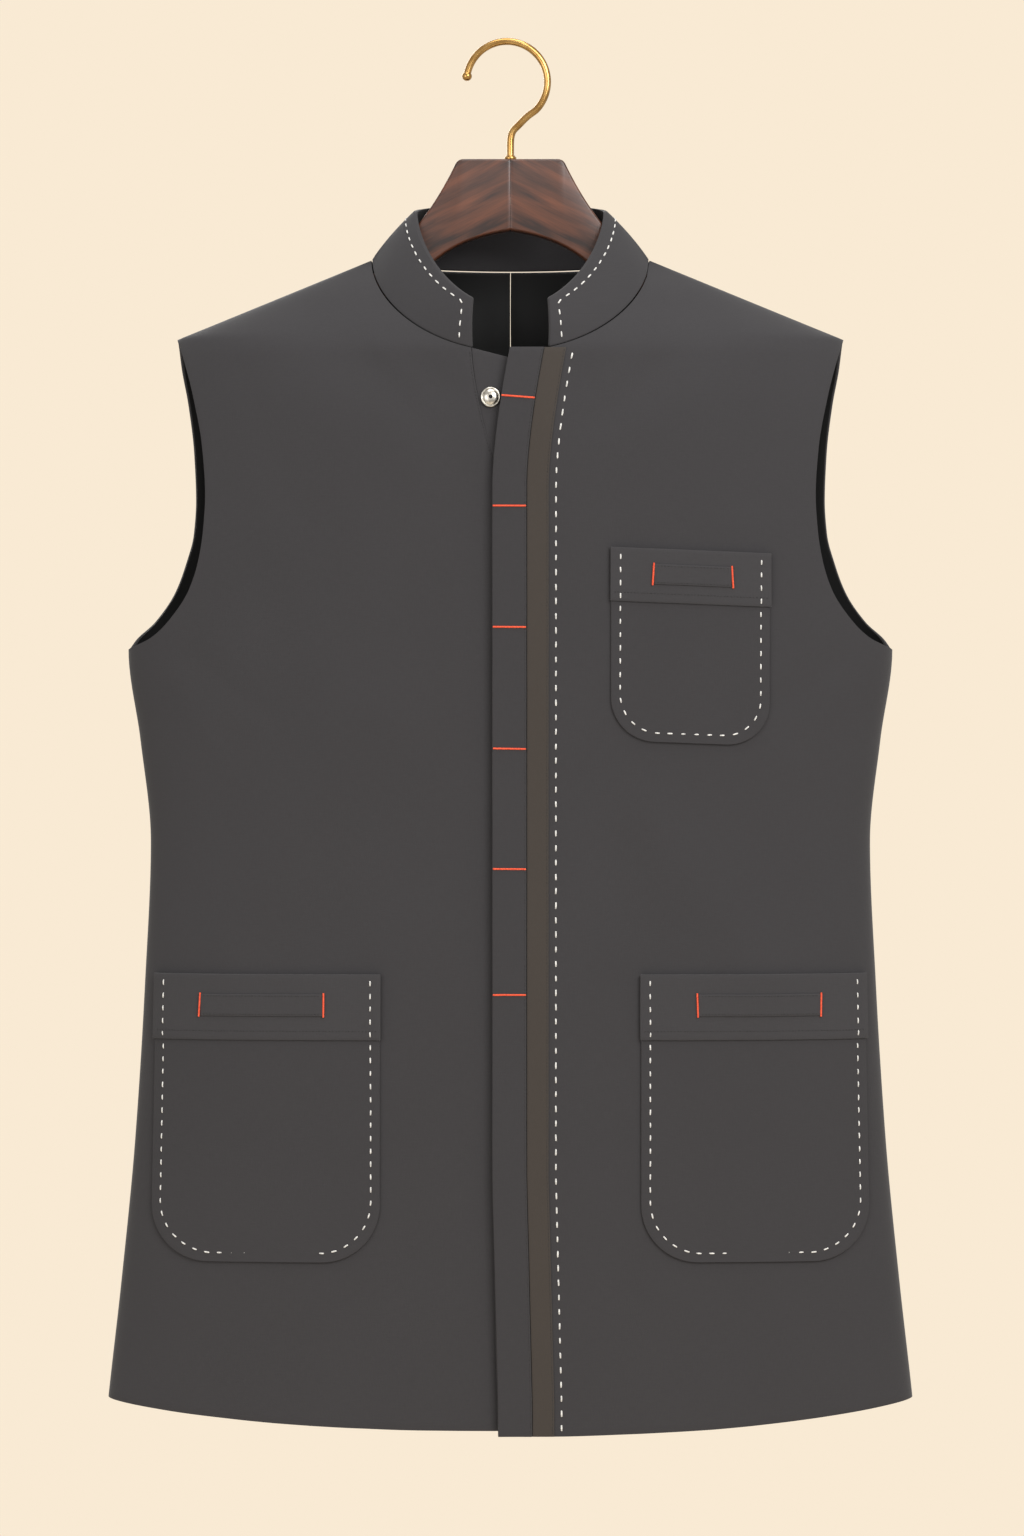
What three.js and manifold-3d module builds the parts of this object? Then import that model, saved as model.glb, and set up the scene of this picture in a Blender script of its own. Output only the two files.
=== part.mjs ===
// A sleeveless band-collar jacket (nehru jacket) hanging on a wooden hanger.
// Millimetres. +Z is up, +X is the wearer's left, and the front of the jacket faces -Y.
// The origin is the point inside the top of the hook that bears on a rail.
// Every cloth piece is a wall: a grid of points on the garment's form, and the same grid moved
// inwards by the wall's thickness. The form is a stack of horizontal sections, each a rounded
// rectangle (superellipse) whose front half and back half have their own depth.
import * as THREE from "three";
import { mergeVertices } from "three/addons/utils/BufferGeometryUtils.js";
import Module from "manifold-3d";

// ---------------------------------------------------------------- sizes

const SEAM = 0.4; // gap between two pieces that are sewn together
const WALL = {
  shell: 1.6, lining: 0.8, collar: 3.0, placket: 1.4, ribbon: 0.9, bag: 1.2, band: 1.2, tab: 0.9,
};
const CLEAR = 1.3; // a patch on a panel, above the panel's flat facets

const NECK = { halfWidth: 89, z: -138 }; // where the collar meets the shoulder seam
const SHOULDER = { slope: 0.41, tipX: 213 }; // the seam falls this much for each mm outwards
const TIP_Z = NECK.z - SHOULDER.slope * (SHOULDER.tipX - NECK.halfWidth);
const ARMPIT = { x: 244.3, z: -387 };

// Sections of the body, from under the hem to the shoulder's tip. halfWidth reaches the side seam;
// above the armpit it is the width that the body would have without an armhole.
const SECTIONS = [
  { z: -900, halfWidth: 260.5, squareness: 2.7 },
  { z: -864, halfWidth: 257.0, squareness: 2.7 },
  { z: -790, halfWidth: 248.7, squareness: 2.7 },
  { z: -700, halfWidth: 240.0, squareness: 2.6 },
  { z: -600, halfWidth: 233.7, squareness: 2.6 },
  { z: -510, halfWidth: 230.0, squareness: 2.5 },
  { z: -445, halfWidth: 236.6, squareness: 2.5 },
  { z: ARMPIT.z, halfWidth: ARMPIT.x, squareness: 2.4 },
  { z: -290, halfWidth: 231.0, squareness: 2.3 },
  { z: TIP_Z, halfWidth: SHOULDER.tipX, squareness: 2.1 },
  { z: NECK.z, halfWidth: NECK.halfWidth, squareness: 2.0 },
];

// How far the front and the back stand from the plane of the side and shoulder seams.
const DEPTHS = [
  { z: -900, front: 50, back: 37 },
  { z: -700, front: 48, back: 38 },
  { z: -510, front: 48, back: 41 },
  { z: -387, front: 53, back: 48 },
  { z: -300, front: 57, back: 55 },
  { z: -240, front: 59, back: 58 },
  { z: -200, front: 56, back: 57 },
  { z: -185, front: 49, back: 55 },
  { z: -170, front: 38, back: 53 },
  { z: -156, front: 26, back: 51 },
  { z: -146, front: 14, back: 49 },
  { z: NECK.z, front: 1, back: 47 },
];

// Edges of the two armholes, as distances from the middle of the jacket.
const ARMHOLE = [
  { z: ARMPIT.z, front: ARMPIT.x, back: ARMPIT.x },
  { z: -380, front: 228.5, back: 240.0 },
  { z: -369, front: 216.5, back: 229.0 },
  { z: -350, front: 203.7, back: 216.5 },
  { z: -331, front: 197.5, back: 209.5 },
  { z: -312, front: 194.5, back: 204.6 },
  { z: -290, front: 193.2, back: 203.1 },
  { z: -260, front: 195.2, back: 204.2 },
  { z: -229, front: 200.9, back: 207.6 },
  { z: -206, front: 207.0, back: 211.4 },
  { z: TIP_Z, front: SHOULDER.tipX, back: SHOULDER.tipX },
];

// Largest soft folds: a trough (depth below 0) or ridge from one point to the other.
const FOLDS = [
  { side: "front", fromX: -122, fromZ: -186, toX: -52, toZ: -226, width: 24, depth: -3.2 },
  { side: "front", fromX: 118, fromZ: -184, toX: 58, toZ: -226, width: 24, depth: -3.2 },
  { side: "front", fromX: -98, fromZ: -430, toX: -190, toZ: -572, width: 26, depth: 2.4 },
  { side: "front", fromX: 84, fromZ: -492, toX: 160, toZ: -590, width: 24, depth: 2.0 },
  { side: "back", fromX: -60, fromZ: -190, toX: -150, toZ: -330, width: 30, depth: -2.6 },
  { side: "back", fromX: 66, fromZ: -192, toX: 146, toZ: -318, width: 30, depth: -2.4 },
  { side: "back", fromX: -120, fromZ: -470, toX: -96, toZ: -800, width: 34, depth: 2.8 },
  { side: "back", fromX: 104, fromZ: -500, toX: 128, toZ: -820, width: 36, depth: 2.6 },
];

// Neckline: the seam between body and collar, seen from the front as half an oval.
const NECKLINE = { frontDrop: 63, frontPower: 1.1, backDrop: 3, endAngle: 16 };
const COLLAR = {
  rimHalfWidth: 62, rimZ: -106.7, rimFront: 58, rimBack: 47, rimDrop: 66, rimPower: 1.2,
  rimBackRise: 9.7, rimEndAngle: 22.8, belly: 1.6,
};

const HEM = { sideZ: -864, frontDrop: 16.5, leftFrontDrop: 19.5, backDrop: 3, power: 2.4 };

// The left front laps over the right one and carries placket and ribbon along its edge.
const LAP = {
  edgeX: -11.3, lift: 4.5, liftTo: 25, liftFade: 60,
  openShift: 11, openLength: 85, openPower: 1.5, hemShift: 3.6, hemShiftFrom: -720,
};
const PLACKET = { width: 21.3 };
const RIBBON = { width: 13.6 };
// The right front is pieced with a button stand, whose seam curves from the collar's end.
const STAND = {
  curve: 13.3, curveLength: 67.5, curvePower: 1.5, hiddenX: 6, hiddenLength: 34,
  edgeX: 13, topSlope: 0.26,
};
const BUTTON = { x: -12.4, z: -229.7, radius: 6.2, height: 3.8 };

// Patch pockets. x and z are the middle of the top edge; tilt is the fall of that edge for each mm
// towards +X; flare is how far the outer side spreads over the whole height.
const POCKETS = [
  { name: "pocket_right", x: -153.3, z: -592.9, width: 141.6, height: 181.6, band: 41.5,
    corner: 36, tilt: 0, flare: 3.6, tab: { x: -156.7, drop: 19.5, width: 76.8, height: 13.8 } },
  { name: "pocket_left", x: 153.3, z: -592.9, width: 141.6, height: 181.6, band: 41.5,
    corner: 36, tilt: 0, flare: 3.6, tab: { x: 156.7, drop: 19.5, width: 76.8, height: 13.8 } },
  { name: "pocket_chest", x: 113.3, z: -325.5, width: 100.0, height: 121.5, band: 33.8,
    corner: 27, tilt: 0.038, flare: 0, tab: { x: 114.6, drop: 16.0, width: 48.5, height: 12.6 } },
];
const BAND_OVERHANG = 0.8; // the band is this much wider than the bag on each side

const HANGER = {
  thickness: 13, edge: 2.4, topZ: -73.6, topHalfWidth: 34, topCorner: 4,
  flareX: 60, flareZ: -116.5, armX: 98, armZ: -152, armHeight: 17.5, tipX: 200, tipHeight: 15,
  tipFall: 8.5, archZ: -119, archX: 48, archFootZ: -138.2, gap: 0.3, boreDepth: 26, past: 10,
};
const HOOK = { wire: 4.6, bend: 25.9, offsetX: -2.2, ball: 3.2, stemBend: 6, clearance: 0.3 };
const FERRULE = { radius: 3.8, height: 2.6 };

// Numbers of facets. Columns run from the middle of the jacket to its side.
const COLUMNS = { flat: 2, neckline: 5, shoulder: 7 };
const ROWS = { below: 9, above: 12, crowding: 0.75 }; // closer at the armpit and the shoulder
const COLLAR_FACETS = { around: 34, up: 3 };
const POCKET_FACETS = { across: 8, straight: 4, corner: 4 };

const COLOUR = {
  cloth: 0x35333a, lining: 0x141414, ribbon: 0x3b3633, metal: 0xb9b4a8, wood: 0x4a2618, brass: 0xa9792f,
};

// ---------------------------------------------------------------- small helpers

const mix = (a, b, t) => a + (b - a) * t;
const clamp01 = (t) => Math.min(1, Math.max(0, t));
const smooth = (t) => clamp01(t) ** 2 * (3 - 2 * clamp01(t));
const radians = (degrees) => (degrees * Math.PI) / 180;
const range = (count) => Array.from({ length: count }, (_, i) => i);

// A table's column at height z, as a smooth curve through its rows that never overshoots them.
function column(table, key, z) {
  const rows = table[0].z < table[table.length - 1].z ? table : [...table].reverse();
  const at = Math.min(rows.length - 2, Math.max(0, rows.findIndex((row) => row.z > z) - 1));
  const i = z >= rows[rows.length - 1].z ? rows.length - 2 : at;
  const slope = (k) => (rows[k + 1][key] - rows[k][key]) / (rows[k + 1].z - rows[k].z);
  const tangent = (k) => {
    if (k === 0) return slope(0);
    if (k === rows.length - 1) return slope(k - 1);
    const before = slope(k - 1);
    const after = slope(k);
    return before * after <= 0 ? 0 : (2 * before * after) / (before + after);
  };
  const step = rows[i + 1].z - rows[i].z;
  const t = clamp01((z - rows[i].z) / step);
  const rise = t * t * (3 - 2 * t);
  return (
    mix(rows[i][key], rows[i + 1][key], rise) +
    step * (t * (1 - t) ** 2 * tangent(i) - t * t * (1 - t) * tangent(i + 1))
  );
}

// ---------------------------------------------------------------- the garment's form

const ridgeZ = (x) => NECK.z - SHOULDER.slope * (Math.abs(x) - NECK.halfWidth);

function halfWidth(z) {
  if (z > TIP_Z) return NECK.halfWidth + (NECK.z - z) / SHOULDER.slope;
  return column(SECTIONS, "halfWidth", z);
}

function foldDepth(side, x, z) {
  let sum = 0;
  for (const fold of FOLDS.filter((one) => one.side === side)) {
    const alongX = fold.toX - fold.fromX;
    const alongZ = fold.toZ - fold.fromZ;
    const share = clamp01(
      ((x - fold.fromX) * alongX + (z - fold.fromZ) * alongZ) / (alongX ** 2 + alongZ ** 2),
    );
    const away = Math.hypot(x - fold.fromX - share * alongX, z - fold.fromZ - share * alongZ);
    sum += fold.depth * Math.exp(-((away / fold.width) ** 2));
  }
  return sum;
}

const lapLift = (x) => LAP.lift * (1 - smooth((x - LAP.liftTo) / LAP.liftFade));

// A form gives the outer surface of one piece of the body, and points off it along its normal.
function makeForm(side, extraDepth = () => 0) {
  const sign = side === "front" ? -1 : 1;
  const depth = (x, z) => column(DEPTHS, side, z) + foldDepth(side, x, z) + extraDepth(x);
  const level = (x, y, z) => {
    const power = column(SECTIONS, "squareness", z);
    return (Math.abs(x) / halfWidth(z)) ** power + (Math.abs(y) / depth(x, z)) ** power;
  };
  const surfaceY = (x, z) => {
    const power = column(SECTIONS, "squareness", z);
    const across = Math.min(1, Math.abs(x) / halfWidth(z)) ** power;
    return sign * Math.max(SEAM / 2, depth(x, z) * (1 - across) ** (1 / power));
  };
  const normal = (x, y, z) => {
    const h = 0.05;
    return new THREE.Vector3(
      level(x + h, y, z) - level(x - h, y, z),
      level(x, y + h, z) - level(x, y - h, z),
      level(x, y, z + h) - level(x, y, z - h),
    ).normalize();
  };
  const point = (x, z, out = 0) => {
    const y = surfaceY(x, z);
    const moved = new THREE.Vector3(x, y, z).addScaledVector(normal(x, y, z), out);
    moved.y = sign * Math.max(SEAM / 2, sign * moved.y);
    return moved;
  };
  return { point, surfaceY };
}

const RIGHT_FORM = makeForm("front");
const LEFT_FORM = makeForm("front", lapLift);
const BACK_FORM = makeForm("back");

// ---------------------------------------------------------------- outlines of the pieces

// A point of the neckline at an angle round the neck: 0 at the front and 180 at the back.
function necklinePoint(angle) {
  const turn = Math.cos(radians(angle));
  const drop =
    turn > 0 ? NECKLINE.frontDrop * turn ** NECKLINE.frontPower : NECKLINE.backDrop * -turn;
  return { x: NECK.halfWidth * Math.sin(radians(angle)), z: NECK.z - drop };
}

const FRONT_END = necklinePoint(NECKLINE.endAngle); // where the collar ends

// Sideways shift of the lapped edge: it falls open above the top button and kicks at the hem.
function lapShift(z) {
  const open = clamp01(1 - (FRONT_END.z - z) / LAP.openLength);
  const kick = clamp01((LAP.hemShiftFrom - z) / (LAP.hemShiftFrom - HEM.sideZ));
  return LAP.openShift * open ** LAP.openPower + LAP.hemShift * kick;
}

const lapEdge = (z) => LAP.edgeX + lapShift(z);

// Distance of the right front's inner edge, the button stand's seam, from the middle.
function standSeam(z) {
  const down = FRONT_END.z - z;
  const curved = FRONT_END.x - STAND.curve * clamp01(down / STAND.curveLength) ** STAND.curvePower;
  const hidden = smooth((down - STAND.curveLength) / STAND.hiddenLength);
  return mix(curved, STAND.hiddenX, hidden);
}

const hemZ = (x, drop) => HEM.sideZ - drop * (1 - (Math.abs(x) / 257) ** HEM.power);

// Points along the top of a panel: any flat stretch, the neckline, then the shoulder seam.
function topEdge(columns, angleFrom, startX) {
  const first = necklinePoint(angleFrom);
  const flat = range(columns.flat).map((i) => ({
    x: mix(startX, first.x, i / columns.flat), z: first.z,
  }));
  const neck = range(columns.neckline).map((i) =>
    necklinePoint(mix(angleFrom, 90, i / columns.neckline)),
  );
  const shoulder = range(columns.shoulder + 1).map((i) => {
    const x = mix(NECK.halfWidth, SHOULDER.tipX, i / columns.shoulder);
    return { x, z: ridgeZ(x) };
  });
  return [...flat, ...neck, ...shoulder];
}

// Rows of {x, z} from hem to top for a panel from its inner edge to the side seam and armhole.
function panelRows({ top, innerX, hemDrop, armhole }) {
  const last = top.length - 1;
  const spread = top.map((_, i) => Math.sin(radians((90 * i) / last)));
  const start = top[0];
  const topShare = top.map((p) => (p.x - start.x) / (SHOULDER.tipX - start.x));
  const below = range(ROWS.below).map((j) => {
    const up = j / ROWS.below;
    const level = mix(HEM.sideZ, ARMPIT.z, up);
    return spread.map((share) => {
      const x = mix(innerX(level), halfWidth(level), share);
      return { x, z: mix(share === 1 ? HEM.sideZ : hemZ(x, hemDrop), ARMPIT.z, up) };
    });
  });
  const above = range(ROWS.above + 1).map((j) => {
    const up = mix(j / ROWS.above, smooth(j / ROWS.above), ROWS.crowding);
    const outer = column(ARMHOLE, armhole, mix(ARMPIT.z, TIP_Z, up));
    const inner = j === ROWS.above ? start.x : innerX(mix(ARMPIT.z, start.z, up));
    return top.map((p, i) => ({
      x: mix(inner, outer, mix(spread[i], topShare[i], smooth(up))),
      z: mix(ARMPIT.z, p.z, up),
    }));
  });
  return [...below, ...above];
}

// ---------------------------------------------------------------- solids

// A closed wall between two grids of points of the same size, its faces turned outwards.
function wall(outer, inner) {
  const across = outer[0].length;
  const up = outer.length;
  const points = [...outer.flat(), ...inner.flat()];
  const half = across * up;
  const at = (i, j, k) => k * half + j * across + i;
  const faces = [];
  const quad = (a, b, c, d) => faces.push([a, b, c], [a, c, d]);
  for (let j = 0; j < up - 1; j++)
    for (let i = 0; i < across - 1; i++) {
      quad(at(i, j, 0), at(i + 1, j, 0), at(i + 1, j + 1, 0), at(i, j + 1, 0));
      quad(at(i, j, 1), at(i, j + 1, 1), at(i + 1, j + 1, 1), at(i + 1, j, 1));
    }
  for (let i = 0; i < across - 1; i++) {
    quad(at(i + 1, 0, 0), at(i, 0, 0), at(i, 0, 1), at(i + 1, 0, 1));
    quad(at(i, up - 1, 0), at(i + 1, up - 1, 0), at(i + 1, up - 1, 1), at(i, up - 1, 1));
  }
  for (let j = 0; j < up - 1; j++) {
    quad(at(0, j, 0), at(0, j + 1, 0), at(0, j + 1, 1), at(0, j, 1));
    quad(at(across - 1, j + 1, 0), at(across - 1, j, 0), at(across - 1, j, 1), at(across - 1, j + 1, 1));
  }
  const volume = faces.reduce(
    (sum, [a, b, c]) => sum + points[a].dot(points[b].clone().cross(points[c])), 0,
  );
  const turned = volume < 0 ? faces.map(([a, b, c]) => [a, c, b]) : faces;
  const geometry = new THREE.BufferGeometry().setFromPoints(points);
  geometry.setIndex(turned.flat());
  return geometry;
}

// A wall on a form: rows of {x, z}, with its outer face this far off the form's surface.
function clothWall(form, rows, outerOff, thickness) {
  const moved = (out) => rows.map((row) => row.map((p) => form.point(p.x, p.z, out)));
  return wall(moved(outerOff), moved(outerOff - thickness));
}

const mirrored = (rows) => rows.map((row) => row.map((p) => ({ x: -p.x, z: p.z })));

const wasm = await Module();
wasm.setup();

function toSolid(geometry) {
  const bare = geometry.clone();
  bare.deleteAttribute("normal");
  bare.deleteAttribute("uv");
  const merged = mergeVertices(bare, 1e-3);
  return new wasm.Manifold(
    new wasm.Mesh({
      numProp: 3,
      vertProperties: merged.attributes.position.array,
      triVerts: new Uint32Array(merged.index.array),
    }),
  );
}

function toGeometry(solid) {
  const made = solid.getMesh();
  return new THREE.BufferGeometry()
    .setAttribute("position", new THREE.BufferAttribute(made.vertProperties, 3))
    .setIndex(new THREE.BufferAttribute(made.triVerts, 1));
}

// ---------------------------------------------------------------- the object

export const jacket = new THREE.Group();
jacket.name = "nehru_jacket";

function finish(colour, roughness, metalness = 0) {
  return new THREE.MeshStandardMaterial({ color: colour, roughness, metalness });
}

function add(name, geometry, material) {
  const mesh = new THREE.Mesh(geometry, material.clone());
  mesh.name = name;
  jacket.add(mesh);
  return mesh;
}

const CLOTH = finish(COLOUR.cloth, 0.9);
const LINING = finish(COLOUR.lining, 0.6);
const WOOD = finish(COLOUR.wood, 0.4);
const BRASS = finish(COLOUR.brass, 0.3, 1);
const METAL = finish(COLOUR.metal, 0.3, 1);
const RIBBON_CLOTH = finish(COLOUR.ribbon, 0.7);

function addFronts() {
  const leftRows = panelRows({
    top: topEdge(COLUMNS, NECKLINE.endAngle, lapEdge(FRONT_END.z)),
    innerX: lapEdge, hemDrop: HEM.leftFrontDrop, armhole: "front",
  });
  const rightRows = panelRows({
    top: topEdge({ ...COLUMNS, flat: 0 }, NECKLINE.endAngle, 0),
    innerX: standSeam, hemDrop: HEM.frontDrop, armhole: "front",
  });
  add("front_left", clothWall(LEFT_FORM, leftRows, 0, WALL.shell), CLOTH);
  add("front_right", clothWall(RIGHT_FORM, mirrored(rightRows), 0, WALL.shell), CLOTH);
  return leftRows.map((row) => row[0].z);
}

function addBack() {
  const rows = panelRows({
    top: topEdge({ ...COLUMNS, flat: 0 }, 180, 0),
    innerX: () => SEAM / 2, hemDrop: HEM.backDrop, armhole: "back",
  }).map((row) => row.map((p) => ({ x: Math.max(p.x, SEAM / 2), z: p.z })));
  const liningOff = -WALL.shell - SEAM;
  for (const [side, half] of [["left", rows], ["right", mirrored(rows)]]) {
    add(`back_${side}`, clothWall(BACK_FORM, half, 0, WALL.shell), CLOTH);
    add(`lining_${side}`, clothWall(BACK_FORM, half, liningOff, WALL.lining), LINING);
  }
}

// The collar's face, moved inwards to its thickness. turn runs from -1 at the wearer's right end to 1 at the left end, with
// 0 at the middle of the back; up runs from 0 at the neckline to 1 at the rim.
function collarPoint(turn, up, thickness) {
  const side = Math.sign(turn) || 1;
  const low = 180 - Math.abs(turn) * (180 - NECKLINE.endAngle);
  const high = radians(180 - Math.abs(turn) * (180 - COLLAR.rimEndAngle));
  const seam = necklinePoint(low);
  const frontForm = side > 0 ? LEFT_FORM : RIGHT_FORM;
  const base = (low < 90 ? frontForm : BACK_FORM).point(side * seam.x, seam.z);
  const ahead = Math.cos(high);
  const rim = new THREE.Vector3(
    side * COLLAR.rimHalfWidth * Math.sin(high),
    ahead > 0 ? -COLLAR.rimFront * ahead : -COLLAR.rimBack * ahead,
    COLLAR.rimZ -
      (ahead > 0 ? COLLAR.rimDrop * ahead ** COLLAR.rimPower : COLLAR.rimBackRise * ahead),
  );
  const outwards = new THREE.Vector3(base.x, base.y, 0).normalize();
  const out = COLLAR.belly * 4 * up * (1 - up) - thickness;
  return base.lerp(rim, up).addScaledVector(outwards, out);
}

function addCollar() {
  const bottom = (SEAM * 2) / Math.abs(COLLAR.rimZ - NECK.z);
  const grid = (thickness) =>
    range(COLLAR_FACETS.up + 1).map((j) =>
      range(COLLAR_FACETS.around + 1).map((i) =>
        collarPoint((2 * i) / COLLAR_FACETS.around - 1, mix(bottom, 1, j / COLLAR_FACETS.up), thickness),
      ),
    );
  add("collar", wall(grid(0), grid(WALL.collar)), CLOTH);
}

// A strip along the lapped edge, from one distance behind it to another.
function lapStrip(heights, from, width, thickness) {
  const steps = Math.max(1, Math.round(width / 9));
  const rows = heights.map((z) =>
    range(steps + 1).map((i) => ({ x: lapEdge(z) + from + (width * i) / steps, z })),
  );
  return clothWall(LEFT_FORM, rows, SEAM + thickness, thickness);
}

function addLap(heights) {
  const levels = heights.map((z, j) => (j === heights.length - 1 ? z - SEAM : z));
  add("placket", lapStrip(levels, 0, PLACKET.width, WALL.placket), CLOTH);
  const ribbonFrom = PLACKET.width + SEAM;
  add("ribbon", lapStrip(levels, ribbonFrom, RIBBON.width, WALL.ribbon), RIBBON_CLOTH);
}

function addStand(heights) {
  const rows = heights.map((z) => {
    const inner = -standSeam(z) + SEAM;
    return range(4).map((i) => {
      const x = mix(inner, STAND.edgeX, i / 3);
      const dip = z === heights[heights.length - 1] ? STAND.topSlope * (x - inner) : 0;
      return { x, z: Math.max(z - dip, hemZ(x, HEM.frontDrop)) };
    });
  });
  add("button_stand", clothWall(RIGHT_FORM, rows, 0, WALL.shell), CLOTH);
}

function addButton() {
  const { radius, height } = BUTTON;
  const profile = [
    [0, 0], [radius, 0], [radius, height * 0.32], [radius * 0.9, height * 0.5],
    [radius * 0.62, height * 0.86], [radius * 0.3, height], [0, height * 0.8],
  ].map(([r, y]) => new THREE.Vector2(r, y));
  const button = add("button", new THREE.LatheGeometry(profile, 20), METAL);
  const seat = RIGHT_FORM.point(BUTTON.x, BUTTON.z, SEAM);
  const outwards = RIGHT_FORM.point(BUTTON.x, BUTTON.z, SEAM + 1).sub(seat);
  button.quaternion.setFromUnitVectors(new THREE.Vector3(0, 1, 0), outwards.normalize());
  button.position.copy(seat);
}

// Rows of a patch pocket's {x, z}, from its top edge, or any depth below it, to another depth.
function patchRows(pocket, depths, extra = 0) {
  const side = Math.sign(pocket.x);
  return depths.map((down) => {
    const fromBottom = pocket.height - down;
    const cut = Math.max(0, pocket.corner - fromBottom);
    const rounding = pocket.corner - Math.sqrt(pocket.corner ** 2 - cut ** 2);
    const half = pocket.width / 2 + extra - rounding;
    return range(POCKET_FACETS.across + 1).map((i) => {
      const across = mix(-half, half, i / POCKET_FACETS.across);
      const outer = across * side > 0 ? (across / half) * (down / pocket.height) : 0;
      const x = pocket.x + across + outer * pocket.flare;
      return { x, z: pocket.z - down - pocket.tilt * (x - pocket.x) };
    });
  });
}

function addPocket(pocket) {
  const form = pocket.x > 0 ? LEFT_FORM : RIGHT_FORM;
  const straight = range(POCKET_FACETS.straight).map(
    (j) => (j / POCKET_FACETS.straight) * (pocket.height - pocket.corner),
  );
  const round = range(POCKET_FACETS.corner + 1).map(
    (j) => pocket.height - pocket.corner * (1 - Math.sin(radians((90 * j) / POCKET_FACETS.corner))),
  );
  const bagOff = CLEAR + WALL.bag;
  const bandOff = bagOff + SEAM + WALL.band;
  const tabOff = bandOff + SEAM + WALL.tab;
  const bag = patchRows(pocket, [...straight, ...round]);
  const band = patchRows(pocket, [0, pocket.band / 2, pocket.band], BAND_OVERHANG);
  const { tab } = pocket;
  const tabRows = [0, 1].map((j) =>
    range(5).map((i) => {
      const x = tab.x + tab.width * (i / 4 - 0.5);
      const z = pocket.z - tab.drop + tab.height * (0.5 - j);
      return { x, z: z - pocket.tilt * (x - pocket.x) };
    }),
  );
  add(`${pocket.name}_bag`, clothWall(form, bag, bagOff, WALL.bag), CLOTH);
  add(`${pocket.name}_band`, clothWall(form, band, bandOff, WALL.band), CLOTH);
  add(`${pocket.name}_tab`, clothWall(form, tabRows, tabOff, WALL.tab), CLOTH);
}

// Outline of the hanger's left half, carried past the middle so that it can be cut off there.
function hangerOutline() {
  const { topZ, topHalfWidth, topCorner, flareX, flareZ, armX, armZ, past } = HANGER;
  const { armHeight, tipX, tipHeight, tipFall, archZ, archX, archFootZ } = HANGER;
  const tipTop = ridgeZ(tipX) - tipFall;
  const shape = new THREE.Shape();
  shape.moveTo(-past, topZ);
  shape.lineTo(topHalfWidth - topCorner, topZ);
  shape.quadraticCurveTo(topHalfWidth, topZ, topHalfWidth + 1.5, topZ - topCorner);
  shape.quadraticCurveTo(flareX - 13, flareZ + 15.5, flareX, flareZ);
  shape.quadraticCurveTo(armX - 23, armZ + 9, armX, armZ);
  shape.lineTo(tipX - 2, tipTop);
  shape.quadraticCurveTo(tipX + 4, tipTop - tipHeight * 0.45, tipX - 5, tipTop - tipHeight);
  shape.lineTo(armX, armZ - armHeight);
  shape.quadraticCurveTo(armX - 27, armZ - armHeight + 11, archX, archFootZ);
  shape.quadraticCurveTo(archX - 18, archZ - 4, 0, archZ);
  shape.lineTo(-past, archZ);
  return shape;
}

function addHanger() {
  const { thickness, edge, gap, topZ, boreDepth } = HANGER;
  const outline = new THREE.ExtrudeGeometry(hangerOutline(), {
    depth: thickness - 2 * edge, bevelThickness: edge, bevelSize: edge, bevelOffset: -edge,
    bevelSegments: 2, curveSegments: 5, steps: 1,
  });
  outline.translate(0, 0, edge - thickness / 2).rotateX(Math.PI / 2);
  const bore = new THREE.CylinderGeometry(
    HOOK.wire / 2 + HOOK.clearance, HOOK.wire / 2 + HOOK.clearance, boreDepth * 2, 16,
  );
  bore.rotateX(Math.PI / 2).translate(0, 0, topZ);
  const room = 300;
  const box = new THREE.BoxGeometry(room, room, room).translate((room + gap) / 2, 0, topZ);
  const half = toSolid(outline).subtract(toSolid(bore)).intersect(toSolid(box));
  add("hanger_left", toGeometry(half), WOOD);
  add("hanger_right", toGeometry(half).rotateZ(Math.PI), WOOD);
}

// The hook's centre line: ball end, round bend, a slant back to the middle, and the stem.
function hookPath() {
  const { wire, bend, offsetX, stemBend } = HOOK;
  const centreZ = wire / 2 - bend;
  const onBend = (angle) =>
    new THREE.Vector3(
      offsetX + bend * Math.cos(radians(angle)), 0, centreZ + bend * Math.sin(radians(angle)),
    );
  const bendPoints = range(15).map((i) => onBend(mix(172, -52, i / 14)));
  const stemTopZ = centreZ - bend - 4.5;
  const slant = new THREE.Vector3(3.6, 0, stemTopZ + stemBend);
  const stem = [0, 6, 14, 24].map((down) => new THREE.Vector3(0, 0, stemTopZ - down));
  const bottom = new THREE.Vector3(0, 0, HANGER.topZ - HANGER.boreDepth + 1);
  const points = [...bendPoints, slant, ...stem.filter((p) => p.z > bottom.z + 6), bottom];
  return new THREE.CatmullRomCurve3(points, false, "centripetal");
}

function addHook() {
  const path = hookPath();
  const section = new THREE.Shape(
    range(10).map((i) => {
      const turn = radians(36 * i);
      return new THREE.Vector2(Math.cos(turn), Math.sin(turn)).multiplyScalar(HOOK.wire / 2);
    }),
  );
  const rod = new THREE.ExtrudeGeometry(section, { steps: 64, extrudePath: path });
  const ball = new THREE.SphereGeometry(HOOK.ball, 14, 10);
  const end = path.getPoint(0);
  ball.translate(end.x, end.y, end.z);
  add("hook", toGeometry(toSolid(rod).add(toSolid(ball))), BRASS);
  const inner = HOOK.wire / 2 + HOOK.clearance;
  const profile = [
    [inner, 0], [FERRULE.radius, 0], [FERRULE.radius, FERRULE.height * 0.7],
    [FERRULE.radius * 0.85, FERRULE.height], [inner, FERRULE.height], [inner, 0],
  ].map(([r, y]) => new THREE.Vector2(r, y));
  const ferrule = new THREE.LatheGeometry(profile, 20);
  ferrule.rotateX(Math.PI / 2).translate(0, 0, HANGER.topZ + HANGER.gap);
  add("ferrule", ferrule, BRASS);
}

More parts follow.
